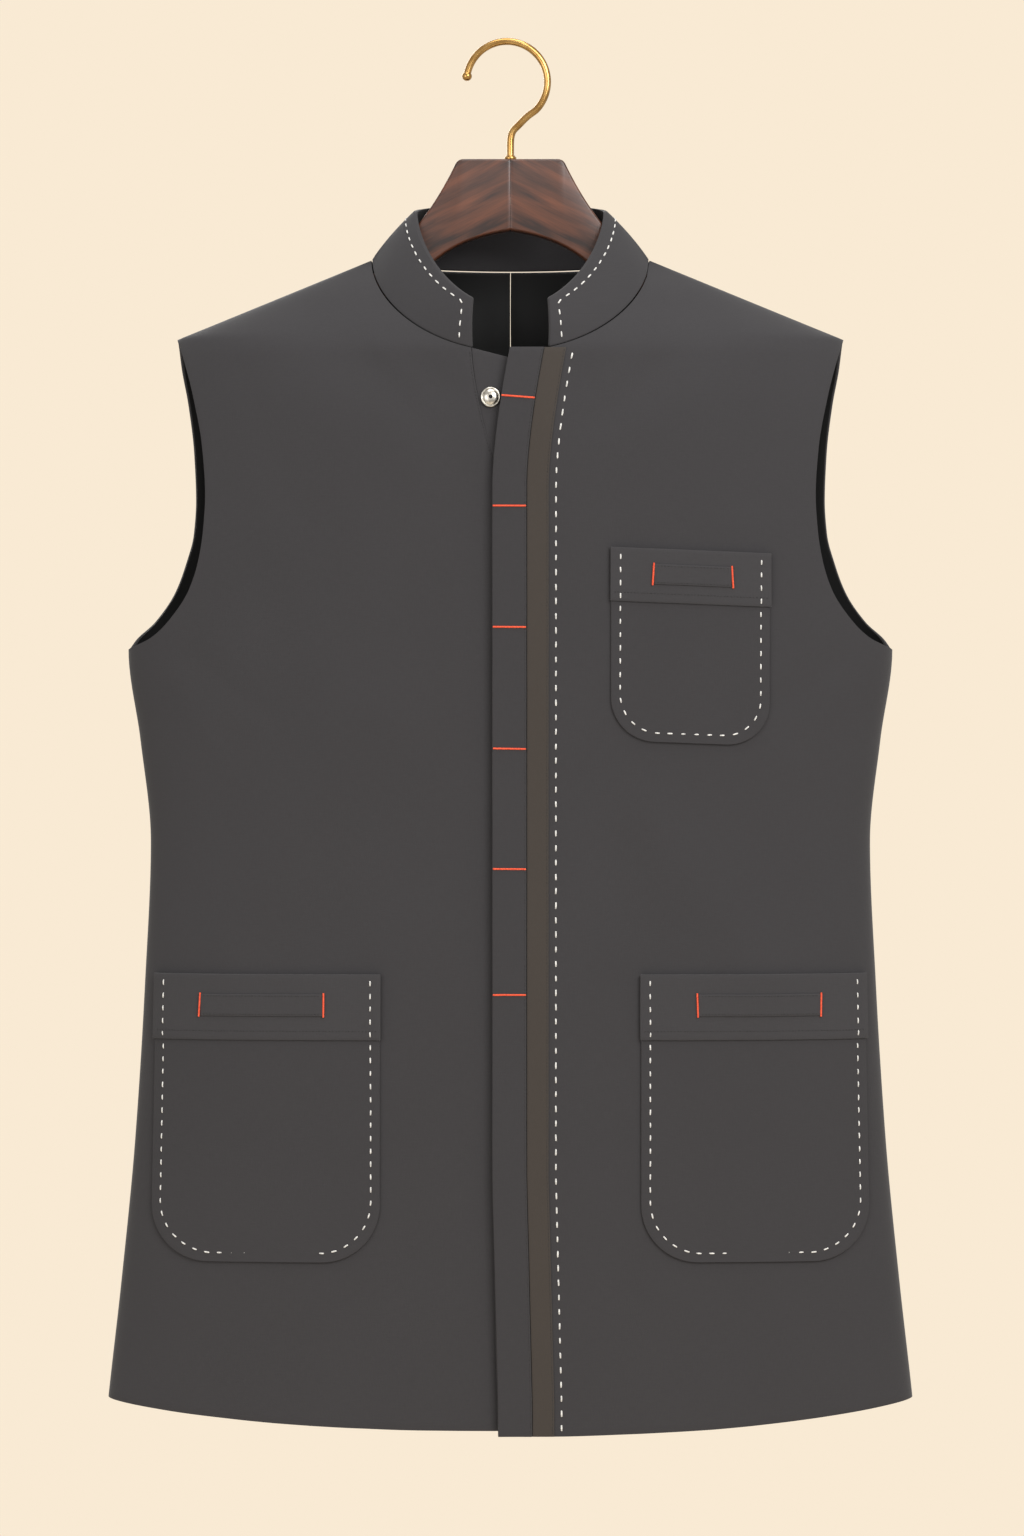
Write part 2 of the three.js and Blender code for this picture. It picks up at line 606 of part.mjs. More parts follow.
const lapHeights = addFronts();
addBack();
addCollar();
addLap(lapHeights);
addStand(lapHeights);
addButton();
POCKETS.forEach(addPocket);
addHanger();
addHook();

export default jacket;
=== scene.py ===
# Looks of a sleeveless band-collar jacket hanging on a wooden hanger.
# Sizes are in millimetres and become metres when a mesh is made. +Z is up, +X is the wearer's
# left, -Y is the front, and the origin is inside the top of the hanger's hook.
import math
import random

import bmesh
import bpy
import numpy as np
from mathutils import Matrix, Vector


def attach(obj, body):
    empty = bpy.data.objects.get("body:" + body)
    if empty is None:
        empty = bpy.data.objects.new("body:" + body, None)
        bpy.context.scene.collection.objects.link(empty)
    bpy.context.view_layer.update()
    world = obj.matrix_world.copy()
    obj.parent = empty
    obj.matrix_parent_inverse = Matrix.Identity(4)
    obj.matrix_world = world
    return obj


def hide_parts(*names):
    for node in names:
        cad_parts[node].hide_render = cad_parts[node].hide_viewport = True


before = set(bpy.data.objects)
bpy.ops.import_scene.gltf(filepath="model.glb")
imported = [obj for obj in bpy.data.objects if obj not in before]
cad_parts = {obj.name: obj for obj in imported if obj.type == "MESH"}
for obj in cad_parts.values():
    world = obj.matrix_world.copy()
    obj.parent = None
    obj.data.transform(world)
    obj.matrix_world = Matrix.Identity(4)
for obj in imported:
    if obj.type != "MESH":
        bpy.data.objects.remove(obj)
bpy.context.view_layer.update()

MM = 0.001
chance = random.Random(11)


# ------------------------------------------------------------------ sizes

def table(columns, *rows):
    """Rows of numbers as named columns."""
    return {name: np.array(values, float) for name, values in zip(columns.split(), zip(*rows))}


SEAM = 0.4
NECK_HALF, NECK_Z, SLOPE, TIP_X = 89.0, -138.0, 0.41, 213.0
TIP_Z = NECK_Z - SLOPE * (TIP_X - NECK_HALF)
ARMPIT_Z, ARMPIT_X = -387.0, 244.3
HEM_Z, HEM_POWER, HEM_HALF = -864.0, 2.4, 257.0
FRONT_DROP, LEFT_DROP, BACK_DROP = 16.5, 19.5, 3.0

SECTIONS = table(
    "z half_width squareness",
    (-900, 260.5, 2.7), (-864, 257.0, 2.7), (-790, 248.7, 2.7), (-700, 240.0, 2.6),
    (-600, 233.7, 2.6), (-510, 230.0, 2.5), (-445, 236.6, 2.5), (ARMPIT_Z, ARMPIT_X, 2.4),
    (-290, 231.0, 2.3), (TIP_Z, TIP_X, 2.1), (NECK_Z, NECK_HALF, 2.0),
)
DEPTHS = table(
    "z front back",
    (-900, 50, 37), (-700, 48, 38), (-510, 48, 41), (-387, 53, 48), (-300, 57, 55),
    (-240, 59, 58), (-200, 56, 57), (-185, 49, 55), (-170, 38, 53), (-156, 26, 51),
    (-146, 14, 49), (NECK_Z, 1, 47),
)
ARMHOLE = table(
    "z front back",
    (ARMPIT_Z, ARMPIT_X, ARMPIT_X), (-380, 228.5, 240.0), (-369, 216.5, 229.0),
    (-350, 203.7, 216.5), (-331, 197.5, 209.5), (-312, 194.5, 204.6), (-290, 193.2, 203.1),
    (-260, 195.2, 204.2), (-229, 200.9, 207.6), (-206, 207.0, 211.4), (TIP_Z, TIP_X, TIP_X),
)
# Creases and swells pressed into the cloth, each from one point to another. The first rows of
# each table are the large folds that the solids have too.
FOLD_COLUMNS = "from_x from_z to_x to_z width depth"
FOLDS = {
    "front": table(
        FOLD_COLUMNS,
        (-122, -186, -52, -226, 24, -3.2), (118, -184, 58, -226, 24, -3.2),
        (-98, -430, -190, -572, 26, 2.4), (84, -492, 160, -590, 24, 2.0),
        (-84, -196, -44, -238, 9, 0.7), (96, -190, 50, -232, 10, 0.8),
        (-168, -214, -138, -300, 12, -0.8), (172, -206, 150, -290, 11, -0.7),
        (-205, -392, -150, -430, 9, -0.8), (-214, -404, -176, -470, 8, 0.6),
        (208, -394, 168, -424, 9, -0.7), (212, -408, 182, -462, 8, 0.6),
        (-60, -560, -96, -700, 16, 0.7), (66, -600, 52, -760, 15, -0.6),
        (-46, -800, -70, -872, 13, 0.8), (150, -800, 168, -874, 16, -0.8),
        (-196, -806, -206, -870, 13, 0.7), (96, -796, 84, -872, 12, 0.6),
        (-32, -330, -40, -480, 10, 0.4), (190, -520, 214, -566, 9, 0.6),
    ),
    "back": table(
        FOLD_COLUMNS,
        (-60, -190, -150, -330, 30, -2.6), (66, -192, 146, -318, 30, -2.4),
        (-120, -470, -96, -800, 34, 2.8), (104, -500, 128, -820, 36, 2.6),
        (-34, -160, -96, -196, 9, 0.8), (30, -162, 88, -202, 9, 0.7),
        (-196, -394, -140, -436, 9, -0.9), (200, -396, 150, -440, 9, -0.9),
        (-186, -300, -170, -370, 10, 0.7), (178, -290, 168, -376, 11, 0.6),
        (-30, -420, -44, -600, 14, -0.7), (36, -380, 30, -560, 13, -0.6),
        (-180, -560, -196, -700, 15, 0.8), (190, -600, 200, -740, 14, 0.7),
        (20, -700, 34, -862, 16, 0.9), (-60, -720, -52, -862, 15, -0.8),
        (-150, -780, -166, -864, 12, 0.8), (160, -772, 168, -864, 13, -0.7),
    ),
}
# Slow unevenness of hanging cloth: height, wave lengths across and down, and where it starts.
WAVES = table(
    "height across down start",
    (0.45, 210, 530, 0.6), (0.30, 96, 340, 2.1), (0.16, 47, 205, 4.0), (0.08, 23, 61, 1.3),
)

NECK_DROP, NECK_POWER, NECK_BACK_DROP, COLLAR_END = 63.0, 1.1, 3.0, 16.0
RIM_HALF, RIM_Z, RIM_FRONT, RIM_BACK = 62.0, -106.7, 58.0, 47.0
RIM_DROP, RIM_POWER, RIM_RISE, RIM_END, BELLY = 66.0, 1.2, 9.7, 22.8, 1.6
COLLAR_WALL = 3.0

LAP_EDGE, LAP_LIFT, LAP_TO, LAP_FADE = -11.3, 4.5, 25.0, 60.0
OPEN_SHIFT, OPEN_LENGTH, OPEN_POWER, HEM_SHIFT, HEM_SHIFT_FROM = 11.0, 85.0, 1.5, 3.6, -720.0
PLACKET_WIDTH, RIBBON_WIDTH = 21.3, 13.6
STAND_CURVE, STAND_LENGTH, STAND_POWER, STAND_HIDDEN, STAND_FADE = 13.3, 67.5, 1.5, 6.0, 34.0
STAND_EDGE, STAND_SLOPE = 13.0, 0.26
BAR_HEIGHTS = (-229.7, -298.0, -374.0, -450.5, -526.3, -605.5)

POCKETS = {
    "pocket_right": dict(x=-153.3, z=-592.9, width=141.6, height=181.6, band=41.5, corner=36,
                         tilt=0, flare=3.6, tab_x=-156.7, tab_drop=19.5, tab_width=76.8,
                         tab_height=13.8),
    "pocket_left": dict(x=153.3, z=-592.9, width=141.6, height=181.6, band=41.5, corner=36,
                        tilt=0, flare=3.6, tab_x=156.7, tab_drop=19.5, tab_width=76.8,
                        tab_height=13.8),
    "pocket_chest": dict(x=113.3, z=-325.5, width=100.0, height=121.5, band=33.8, corner=27,
                         tilt=0.038, flare=0, tab_x=114.6, tab_drop=16.0, tab_width=48.5,
                         tab_height=12.6),
}
STITCH_INSET, TAB_END = 5.6, 0.6
BUTTON_X, BUTTON_Z, BUTTON_RADIUS = -12.4, -229.7, 6.2
# How far each layer's face stands off the body's form, and how thick the layer is.
SHELL_OUT, SHELL_WALL = 0, 1.6
LINING_OUT, LINING_WALL = -2.0, 0.8
PLACKET_OUT, PLACKET_WALL = 1.5, 1.3
RIBBON_OUT, RIBBON_WALL = 0.9, 0.75
BAG_OUT, BAG_WALL = 1.7, 1.5
BAND_OUT, BAND_WALL, BAND_OVERHANG = 3.0, 1.2, 0.8
TAB_OUT, TAB_WALL = 3.9, 0.8
# Threads: the length and radius of a stitch.
FRONT_THREAD, POCKET_THREAD = (4.5, 0.56), (3.8, 0.5)
COLLAR_THREAD, TONAL_THREAD = (3.9, 0.5), (1.5, 0.24)
FRONT_PITCH, POCKET_PITCH, COLLAR_PITCH, TONAL_PITCH = 9.1, 8.2, 7.3, 2.1
FRONT_LINE, BAND_LINE = 39.9, 5.6
BAR_RADIUS, BAR_RIB, BAR_SIDES, BAR_REACH = 0.62, 0.42, 8, 0.8
HANGER_THICK, HANGER_TOP = 13.0, -73.6
HOOK_WIRE, HOOK_BEND, HOOK_X = 4.6, 25.9, -2.2


# ------------------------------------------------------------------ the garment's form

def smooth(t):
    t = np.clip(t, 0, 1)
    return t * t * (3 - 2 * t)


def mix(a, b, t):
    return a + (b - a) * t


def along(rows, key, z):
    """A table's column at height z, a smooth curve that never overshoots its rows."""
    xs, ys = rows["z"], rows[key]
    step = np.diff(xs)
    slope = np.diff(ys) / step
    before, after = slope[:-1], slope[1:]
    same = before * after > 0
    middle = np.where(same, 2 * before * after / np.where(same, before + after, 1), 0)
    tangent = np.concatenate([slope[:1], middle, slope[-1:]])
    z = np.asarray(z, float)
    i = np.clip(np.searchsorted(xs, z, side="right") - 1, 0, len(xs) - 2)
    t = np.clip((z - xs[i]) / step[i], 0, 1)
    bend = t * (1 - t) ** 2 * tangent[i] - t * t * (1 - t) * tangent[i + 1]
    return mix(ys[i], ys[i + 1], t * t * (3 - 2 * t)) + step[i] * bend


def ridge_z(x):
    return NECK_Z - SLOPE * (np.abs(x) - NECK_HALF)


def half_width(z):
    return np.where(z > TIP_Z, NECK_HALF + (NECK_Z - z) / SLOPE, along(SECTIONS, "half_width", z))


def fold_depth(side, x, z):
    total = np.zeros(np.broadcast(x, z).shape)
    folds = FOLDS[side]
    for k in range(len(folds["width"])):
        run = folds["to_x"][k] - folds["from_x"][k]
        fall = folds["to_z"][k] - folds["from_z"][k]
        dx, dz = x - folds["from_x"][k], z - folds["from_z"][k]
        share = np.clip((dx * run + dz * fall) / (run ** 2 + fall ** 2), 0, 1)
        away = np.hypot(dx - share * run, dz - share * fall)
        total += folds["depth"][k] * np.exp(-((away / folds["width"][k]) ** 2))
    return total


def waves(x, z, turn):
    total = np.zeros(np.broadcast(x, z).shape)
    for k in range(len(WAVES["height"])):
        place = turn * x / WAVES["across"][k] + z / WAVES["down"][k] * (1 if k % 2 else -1)
        total += WAVES["height"][k] * np.sin(2 * math.pi * place + WAVES["start"][k])
    return total


def lap_lift(x):
    return LAP_LIFT * (1 - smooth((x - LAP_TO) / LAP_FADE))


class Form:
    """The outer face of the fronts or of the back."""

    def __init__(self, side, lift=None):
        self.side = side
        self.sign = -1 if side == "front" else 1
        self.lift = lift

    def depth(self, x, z):
        deep = along(DEPTHS, self.side, z) + fold_depth(self.side, x, z) + waves(x, z, self.sign)
        return deep + self.lift(x) if self.lift else deep

    def level(self, x, y, z):
        power = along(SECTIONS, "squareness", z)
        return (np.abs(x) / half_width(z)) ** power + (np.abs(y) / self.depth(x, z)) ** power

    def points(self, x, z, out=0.0):
        """Points this far off the form, along its normal."""
        x, z = np.broadcast_arrays(np.asarray(x, float), np.asarray(z, float))
        power = along(SECTIONS, "squareness", z)
        across = np.minimum(1, np.abs(x) / half_width(z)) ** power
        deep = np.maximum(1.0, self.depth(x, z))
        y = self.sign * np.maximum(SEAM / 2, deep * (1 - across) ** (1 / power))
        h = 0.05
        normal = np.stack([
            self.level(x + h, y, z) - self.level(x - h, y, z),
            self.level(x, y + h, z) - self.level(x, y - h, z),
            self.level(x, y, z + h) - self.level(x, y, z - h),
        ], -1)
        normal /= np.linalg.norm(normal, axis=-1, keepdims=True)
        moved = np.stack([x, y, z], -1) + normal * np.asarray(out, float)[..., None]
        moved[..., 1] = self.sign * np.maximum(SEAM / 2, self.sign * moved[..., 1])
        return moved


RIGHT = Form("front")
LEFT = Form("front", lap_lift)
BACK = Form("back")


def neckline(angle):
    turn = np.cos(np.radians(angle))
    drop = np.where(turn > 0, NECK_DROP * np.maximum(turn, 0) ** NECK_POWER, -NECK_BACK_DROP * turn)
    return NECK_HALF * np.sin(np.radians(angle)), NECK_Z - drop


END_X, END_Z = (float(v) for v in neckline(COLLAR_END))


def lap_edge(z):
    opened = np.clip(1 - (END_Z - z) / OPEN_LENGTH, 0, 1)
    kick = np.clip((HEM_SHIFT_FROM - z) / (HEM_SHIFT_FROM - HEM_Z), 0, 1)
    return LAP_EDGE + OPEN_SHIFT * opened ** OPEN_POWER + HEM_SHIFT * kick


def stand_seam(z):
    down = END_Z - z
    curved = END_X - STAND_CURVE * np.clip(down / STAND_LENGTH, 0, 1) ** STAND_POWER
    return mix(curved, STAND_HIDDEN, smooth((down - STAND_LENGTH) / STAND_FADE))


def hem_z(x, drop):
    return HEM_Z - drop * (1 - np.minimum(1, np.abs(x) / HEM_HALF) ** HEM_POWER)


# ------------------------------------------------------------------ meshes

def mesh_object(name, vertices, faces, uv=None):
    mesh = bpy.data.meshes.new(name)
    mesh.from_pydata((np.asarray(vertices) * MM).tolist(), [], faces)
    mesh.validate()
    if uv is not None:
        layer = mesh.uv_layers.new(name="cloth")
        corners = np.empty(len(mesh.loops), dtype=int)
        mesh.loops.foreach_get("vertex_index", corners)
        layer.data.foreach_set("uv", (np.asarray(uv)[corners] * MM).ravel())
    piece = bpy.data.objects.new(name, mesh)
    bpy.context.collection.objects.link(piece)
    return piece


def wall(name, outer, inner):
    """A closed wall between two grids of points, with its cloth's length and width as its UV."""
    rows, cols = outer.shape[:2]
    half = rows * cols
    grid = np.arange(half).reshape(rows, cols)
    a, b, c, d = grid[:-1, :-1], grid[:-1, 1:], grid[1:, 1:], grid[1:, :-1]
    front = np.stack([a, b, c, d], -1).reshape(-1, 4)
    back = np.stack([d, c, b, a], -1).reshape(-1, 4) + half
    rim = []
    for edge in (grid[0, ::-1], grid[:, 0], grid[-1], grid[::-1, -1]):
        s, e = edge[:-1], edge[1:]
        rim.append(np.stack([s, e, e + half, s + half], -1))
    faces = np.concatenate([front, back, *rim])
    points = np.concatenate([outer.reshape(-1, 3), inner.reshape(-1, 3)])
    corner = points[faces]
    volume = np.einsum("ij,ij->", corner[:, 0], np.cross(corner[:, 1], corner[:, 2]))
    volume += np.einsum("ij,ij->", corner[:, 0], np.cross(corner[:, 2], corner[:, 3]))
    if volume < 0:
        faces = faces[:, ::-1]
    run = np.linalg.norm(np.diff(outer, axis=1), axis=-1).cumsum(axis=1)
    run = np.concatenate([np.zeros((rows, 1)), run], 1)
    uv = np.stack([run, outer[..., 2]], -1).reshape(-1, 2)
    return mesh_object(name, points, faces.tolist(), np.concatenate([uv, uv]))


def only(piece):
    bpy.ops.object.select_all(action="DESELECT")
    piece.select_set(True)
    bpy.context.view_layer.objects.active = piece


def modifier(piece, kind, **settings):
    only(piece)
    made = piece.modifiers.new(kind.lower(), kind)
    for key, value in settings.items():
        setattr(made, key, value)
    bpy.ops.object.modifier_apply(modifier=made.name)


def soften(piece, width, segments=2, angle=50):
    """Rounds a piece's sharp edges and shades the rest of it smoothly."""
    modifier(piece, "BEVEL", width=width * MM, segments=segments, limit_method="ANGLE",
             angle_limit=math.radians(angle), harden_normals=False)
    only(piece)
    bpy.ops.object.shade_smooth_by_angle(angle=math.radians(40))


def finish(piece, material, slot, *nodes):
    piece.data.materials.clear()
    piece.data.materials.append(material)
    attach(piece, "root")
    if nodes:
        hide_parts(*nodes)
    return piece


def cloth_wall(name, form, x, z, out, thickness, edge=0.35):
    piece = wall(name, form.points(x, z, out), form.points(x, z, out - thickness))
    soften(piece, edge)
    return piece


# ------------------------------------------------------------------ finishes

def nodes_of(tree):
    def add(kind, **settings):
        made = tree.nodes.new(kind)
        inputs = settings.pop("inputs", {})
        for key, value in settings.items():
            setattr(made, key, value)
        for key, value in inputs.items():
            if isinstance(value, bpy.types.NodeSocket):
                tree.links.new(value, made.inputs[key])
            else:
                made.inputs[key].default_value = value
        return made
    return add


def weave_group():
    """Cloth's colour and height: crossing slubs of yarn over a fine plain weave."""
    tree = bpy.data.node_groups.new("Weave", "ShaderNodeTree")
    for name, kind, way in (
        ("Place", "NodeSocketVector", "INPUT"), ("Colour", "NodeSocketColor", "INPUT"),
        ("Contrast", "NodeSocketFloat", "INPUT"), ("Yarns", "NodeSocketFloat", "INPUT"),
        ("Colour", "NodeSocketColor", "OUTPUT"), ("Height", "NodeSocketFloat", "OUTPUT"),
    ):
        tree.interface.new_socket(name, in_out=way, socket_type=kind)
    add = nodes_of(tree)
    given = add("NodeGroupInput").outputs
    slubs = []
    for across, down in ((1100, 190), (170, 1000)):
        stretched = add("ShaderNodeVectorMath", operation="MULTIPLY",
                        inputs={0: given["Place"], 1: (across, down, 1)})
        slubs.append(add("ShaderNodeTexNoise", inputs={
            "Vector": stretched.outputs[0], "Scale": 1.0, "Detail": 2.0, "Roughness": 0.6}))
    broad = add("ShaderNodeTexNoise", inputs={"Vector": given["Place"], "Scale": 14.0, "Detail": 3.0})
    both = add("ShaderNodeMath", operation="ADD",
               inputs={0: slubs[0].outputs[0], 1: slubs[1].outputs[0]})
    all_three = add("ShaderNodeMath", operation="MULTIPLY_ADD",
                    inputs={0: broad.outputs[0], 1: 0.5, 2: both.outputs[0]})
    centred = add("ShaderNodeMath", operation="SUBTRACT", inputs={0: all_three.outputs[0], 1: 1.25})
    scaled = add("ShaderNodeMath", operation="MULTIPLY",
                 inputs={0: centred.outputs[0], 1: given["Contrast"]})
    bright = add("ShaderNodeMath", operation="ADD", inputs={0: scaled.outputs[0], 1: 1.0})
    tinted = add("ShaderNodeVectorMath", operation="SCALE",
                 inputs={0: given["Colour"], "Scale": bright.outputs[0]})
    fine = add("ShaderNodeVectorMath", operation="SCALE",
               inputs={0: given["Place"], "Scale": given["Yarns"]})
    parts = add("ShaderNodeSeparateXYZ", inputs={0: fine.outputs[0]})
    sines = [add("ShaderNodeMath", operation="SINE", inputs={0: parts.outputs[k]}) for k in (0, 1)]
    crossing = add("ShaderNodeMath", operation="MULTIPLY",
                   inputs={0: sines[0].outputs[0], 1: sines[1].outputs[0]})
    height = add("ShaderNodeMath", operation="MULTIPLY_ADD",
                 inputs={0: crossing.outputs[0], 1: 0.35, 2: both.outputs[0]})
    add("NodeGroupOutput", inputs={"Colour": tinted.outputs[0], "Height": height.outputs[0]})
    return tree


WEAVE = weave_group()


def new_material(name):
    material = bpy.data.materials.new(name)
    material.use_nodes = True
    tree = material.node_tree
    tree.nodes.clear()
    add = nodes_of(tree)
    shader = add("ShaderNodeBsdfPrincipled")
    add("ShaderNodeOutputMaterial", inputs={"Surface": shader.outputs[0]})
    return material, add, shader, tree


def cloth_material(name, colour, contrast=0.16, yarns=11000, bump=0.12, roughness=0.88, sheen=0.12):
    material, add, shader, tree = new_material(name)
    place = add("ShaderNodeUVMap", uv_map="cloth")
    weave = add("ShaderNodeGroup", node_tree=WEAVE, inputs={
        "Place": place.outputs[0], "Colour": (*colour, 1), "Contrast": contrast, "Yarns": yarns})
    raised = add("ShaderNodeBump", inputs={
        "Strength": bump, "Distance": 0.0006, "Height": weave.outputs["Height"]})
    tree.links.new(weave.outputs["Colour"], shader.inputs["Base Color"])
    tree.links.new(raised.outputs[0], shader.inputs["Normal"])
    shader.inputs["Roughness"].default_value = roughness
    shader.inputs["Sheen Weight"].default_value = sheen
    shader.inputs["Sheen Roughness"].default_value = 0.5
    shader.inputs["Specular IOR Level"].default_value = 0.25
    return material


def spotted_material(name, dark, light, scale, metallic=0.0, roughness=0.4, bump=0.0):
    """A finish that drifts between two colours, as thread and metal do."""
    material, add, shader, tree = new_material(name)
    place = add("ShaderNodeTexCoord")
    noise = add("ShaderNodeTexNoise", inputs={
        "Vector": place.outputs["Object"], "Scale": scale, "Detail": 4.0})
    ramp = add("ShaderNodeValToRGB", inputs={"Fac": noise.outputs[0]})
    ramp.color_ramp.elements[0].position = 0.35
    ramp.color_ramp.elements[1].position = 0.68
    ramp.color_ramp.elements[0].color = (*dark, 1)
    ramp.color_ramp.elements[1].color = (*light, 1)
    tree.links.new(ramp.outputs[0], shader.inputs["Base Color"])
    if bump:
        raised = add("ShaderNodeBump", inputs={
            "Strength": bump, "Distance": 0.0003, "Height": noise.outputs[0]})
        tree.links.new(raised.outputs[0], shader.inputs["Normal"])
    shader.inputs["Metallic"].default_value = metallic
    shader.inputs["Roughness"].default_value = roughness
    return material


def walnut_material():
    """Dark stained wood whose grain climbs to the mitre in the middle from both sides."""
    material, add, shader, tree = new_material("walnut")
    place = add("ShaderNodeTexCoord")
    parts = add("ShaderNodeSeparateXYZ", inputs={0: place.outputs["Object"]})
    side = add("ShaderNodeMath", operation="ABSOLUTE", inputs={0: parts.outputs[0]})
    folded = add("ShaderNodeCombineXYZ", inputs={
        0: side.outputs[0], 1: parts.outputs[1], 2: parts.outputs[2]})
    turned = add("ShaderNodeMapping", inputs={
        "Vector": folded.outputs[0], "Rotation": (0, math.radians(-27), 0), "Scale": (1, 1, 1)})
    long_grain = add("ShaderNodeMapping", inputs={
        "Vector": turned.outputs[0], "Scale": (14, 60, 150)})
    fine_grain = add("ShaderNodeMapping", inputs={
        "Vector": turned.outputs[0], "Scale": (50, 300, 900)})
    broad = add("ShaderNodeTexNoise", inputs={
        "Vector": long_grain.outputs[0], "Scale": 1.0, "Detail": 5.0, "Distortion": 0.6})
    fine = add("ShaderNodeTexNoise", inputs={
        "Vector": fine_grain.outputs[0], "Scale": 1.0, "Detail": 3.0})
    both = add("ShaderNodeMath", operation="MULTIPLY_ADD",
               inputs={0: fine.outputs[0], 1: 0.35, 2: broad.outputs[0]})
    ramp = add("ShaderNodeValToRGB", inputs={"Fac": both.outputs[0]})
    ramp.color_ramp.elements[0].position = 0.48
    ramp.color_ramp.elements[1].position = 0.90
    ramp.color_ramp.elements[0].color = (0.022, 0.009, 0.006, 1)
    ramp.color_ramp.elements[1].color = (0.135, 0.042, 0.018, 1)
    tree.links.new(ramp.outputs[0], shader.inputs["Base Color"])
    raised = add("ShaderNodeBump", inputs={
        "Strength": 0.08, "Distance": 0.0004, "Height": fine.outputs[0]})
    tree.links.new(raised.outputs[0], shader.inputs["Normal"])
    shader.inputs["Roughness"].default_value = 0.38
    shader.inputs["Coat Weight"].default_value = 0.25
    shader.inputs["Coat Roughness"].default_value = 0.3
    return material


CLOTH = cloth_material("charcoal_cloth", (0.036, 0.034, 0.036))
BAND_CLOTH = cloth_material("charcoal_band", (0.040, 0.038, 0.040))
LINING = cloth_material("black_lining", (0.010, 0.010, 0.010), contrast=0.08, bump=0.03,
                        roughness=0.55, sheen=0.0)
RIBBON = cloth_material("taupe_ribbon", (0.046, 0.038, 0.032), contrast=0.10, yarns=9000)
# Tone-on-tone thread, made darker than the cloth: the real stitching together with painted shade for
# the fine groove it sinks into the cloth.
THREAD_WITH_GROOVE_SHADE = spotted_material("thread_darkened_for_groove_shade", (0.012, 0.011, 0.011), (0.03, 0.028, 0.028), 900,
                         roughness=0.8)
WHITE_THREAD = spotted_material("white_thread", (0.50, 0.49, 0.47), (0.82, 0.80, 0.76), 800,
                                roughness=0.7, bump=0.3)
ORANGE_THREAD = spotted_material("orange_thread", (0.62, 0.05, 0.018), (0.95, 0.13, 0.045), 1200,
                                 roughness=0.6, bump=0.4)
SILVER = spotted_material("worn_silver", (0.42, 0.39, 0.34), (0.78, 0.75, 0.68), 420,
                          metallic=1.0, roughness=0.3, bump=0.1)
# Near-black finish for the button's sunken middle: painted shade in its recess, not a colour of the
# metal.
RECESS_PAINTED_SHADE = spotted_material("painted_recess_shade", (0.004, 0.004, 0.004), (0.012, 0.012, 0.012), 300,
                              roughness=0.7)
BRASS = spotted_material("polished_brass", (0.46, 0.25, 0.075), (0.66, 0.40, 0.14), 160,
                         metallic=1.0, roughness=0.24, bump=0.03)
WALNUT = walnut_material()


# ------------------------------------------------------------------ body panels

def top_edge(counts, angle_from, start_x):
    flat, neck, shoulder = counts
    first_x, first_z = neckline(angle_from)
    neck_x, neck_z = neckline(np.linspace(angle_from, 90, neck, endpoint=False))
    run_x = np.linspace(NECK_HALF, TIP_X, shoulder + 1)
    flat_x = np.linspace(start_x, first_x, flat, endpoint=False)
    return (np.concatenate([flat_x, neck_x, run_x]),
            np.concatenate([np.full(flat, first_z), neck_z, ridge_z(run_x)]))


def panel(top, inner_x, drop, armhole, rows):
    """Grids of x and z of a panel, from its inner edge to the side seam and the armhole."""
    top_x, top_z = top
    spread = np.sin(np.linspace(0, math.pi / 2, len(top_x)))
    top_share = (top_x - top_x[0]) / (TIP_X - top_x[0])
    xs, zs = [], []
    for up in np.linspace(0, 1, rows[0], endpoint=False):
        level = mix(HEM_Z, ARMPIT_Z, up)
        x = mix(inner_x(level), half_width(level), spread)
        xs.append(x)
        zs.append(mix(hem_z(x, drop), ARMPIT_Z, up))
    for t in np.linspace(0, 1, rows[1] + 1):
        up = float(mix(t, smooth(t), 0.75))
        outer = along(ARMHOLE, armhole, mix(ARMPIT_Z, TIP_Z, up))
        inner = top_x[0] if t == 1 else inner_x(mix(ARMPIT_Z, top_z[0], up))
        xs.append(mix(inner, outer, mix(spread, top_share, smooth(up))))
        zs.append(mix(ARMPIT_Z, top_z, up))
    return np.array(xs), np.array(zs)


def make_fronts():
    counts, rows = (8, 24, 36), (96, 84)
    x, z = panel(top_edge(counts, COLLAR_END, float(lap_edge(END_Z))), lap_edge, LEFT_DROP,
                 "front", rows)
    left = cloth_wall("left_front", LEFT, x, z, SHELL_OUT, SHELL_WALL)
    finish(left, CLOTH, "jacket_cloth", "front_left")
    x, z = panel(top_edge((0, *counts[1:]), COLLAR_END, 0), stand_seam, FRONT_DROP, "front", rows)
    right = cloth_wall("right_front", RIGHT, -x, z, SHELL_OUT, SHELL_WALL)
    finish(right, CLOTH, "jacket_cloth", "front_right")


def make_backs():
    x, z = panel(top_edge((0, 24, 36), 180, 0), lambda level: SEAM / 2, BACK_DROP, "back", (96, 84))
    thin_x, thin_z = x[::2, ::2], z[::2, ::2]
    for name, side in (("left", 1), ("right", -1)):
        shell = cloth_wall(f"{name}_back", BACK, side * np.maximum(x, SEAM / 4), z,
                           SHELL_OUT, SHELL_WALL)
        finish(shell, CLOTH, "jacket_cloth", f"back_{name}")
        skin = cloth_wall(f"{name}_back_lining", BACK, side * np.maximum(thin_x, SEAM / 2),
                          thin_z, LINING_OUT, LINING_WALL, edge=0.2)
        finish(skin, LINING, "lining", f"lining_{name}")


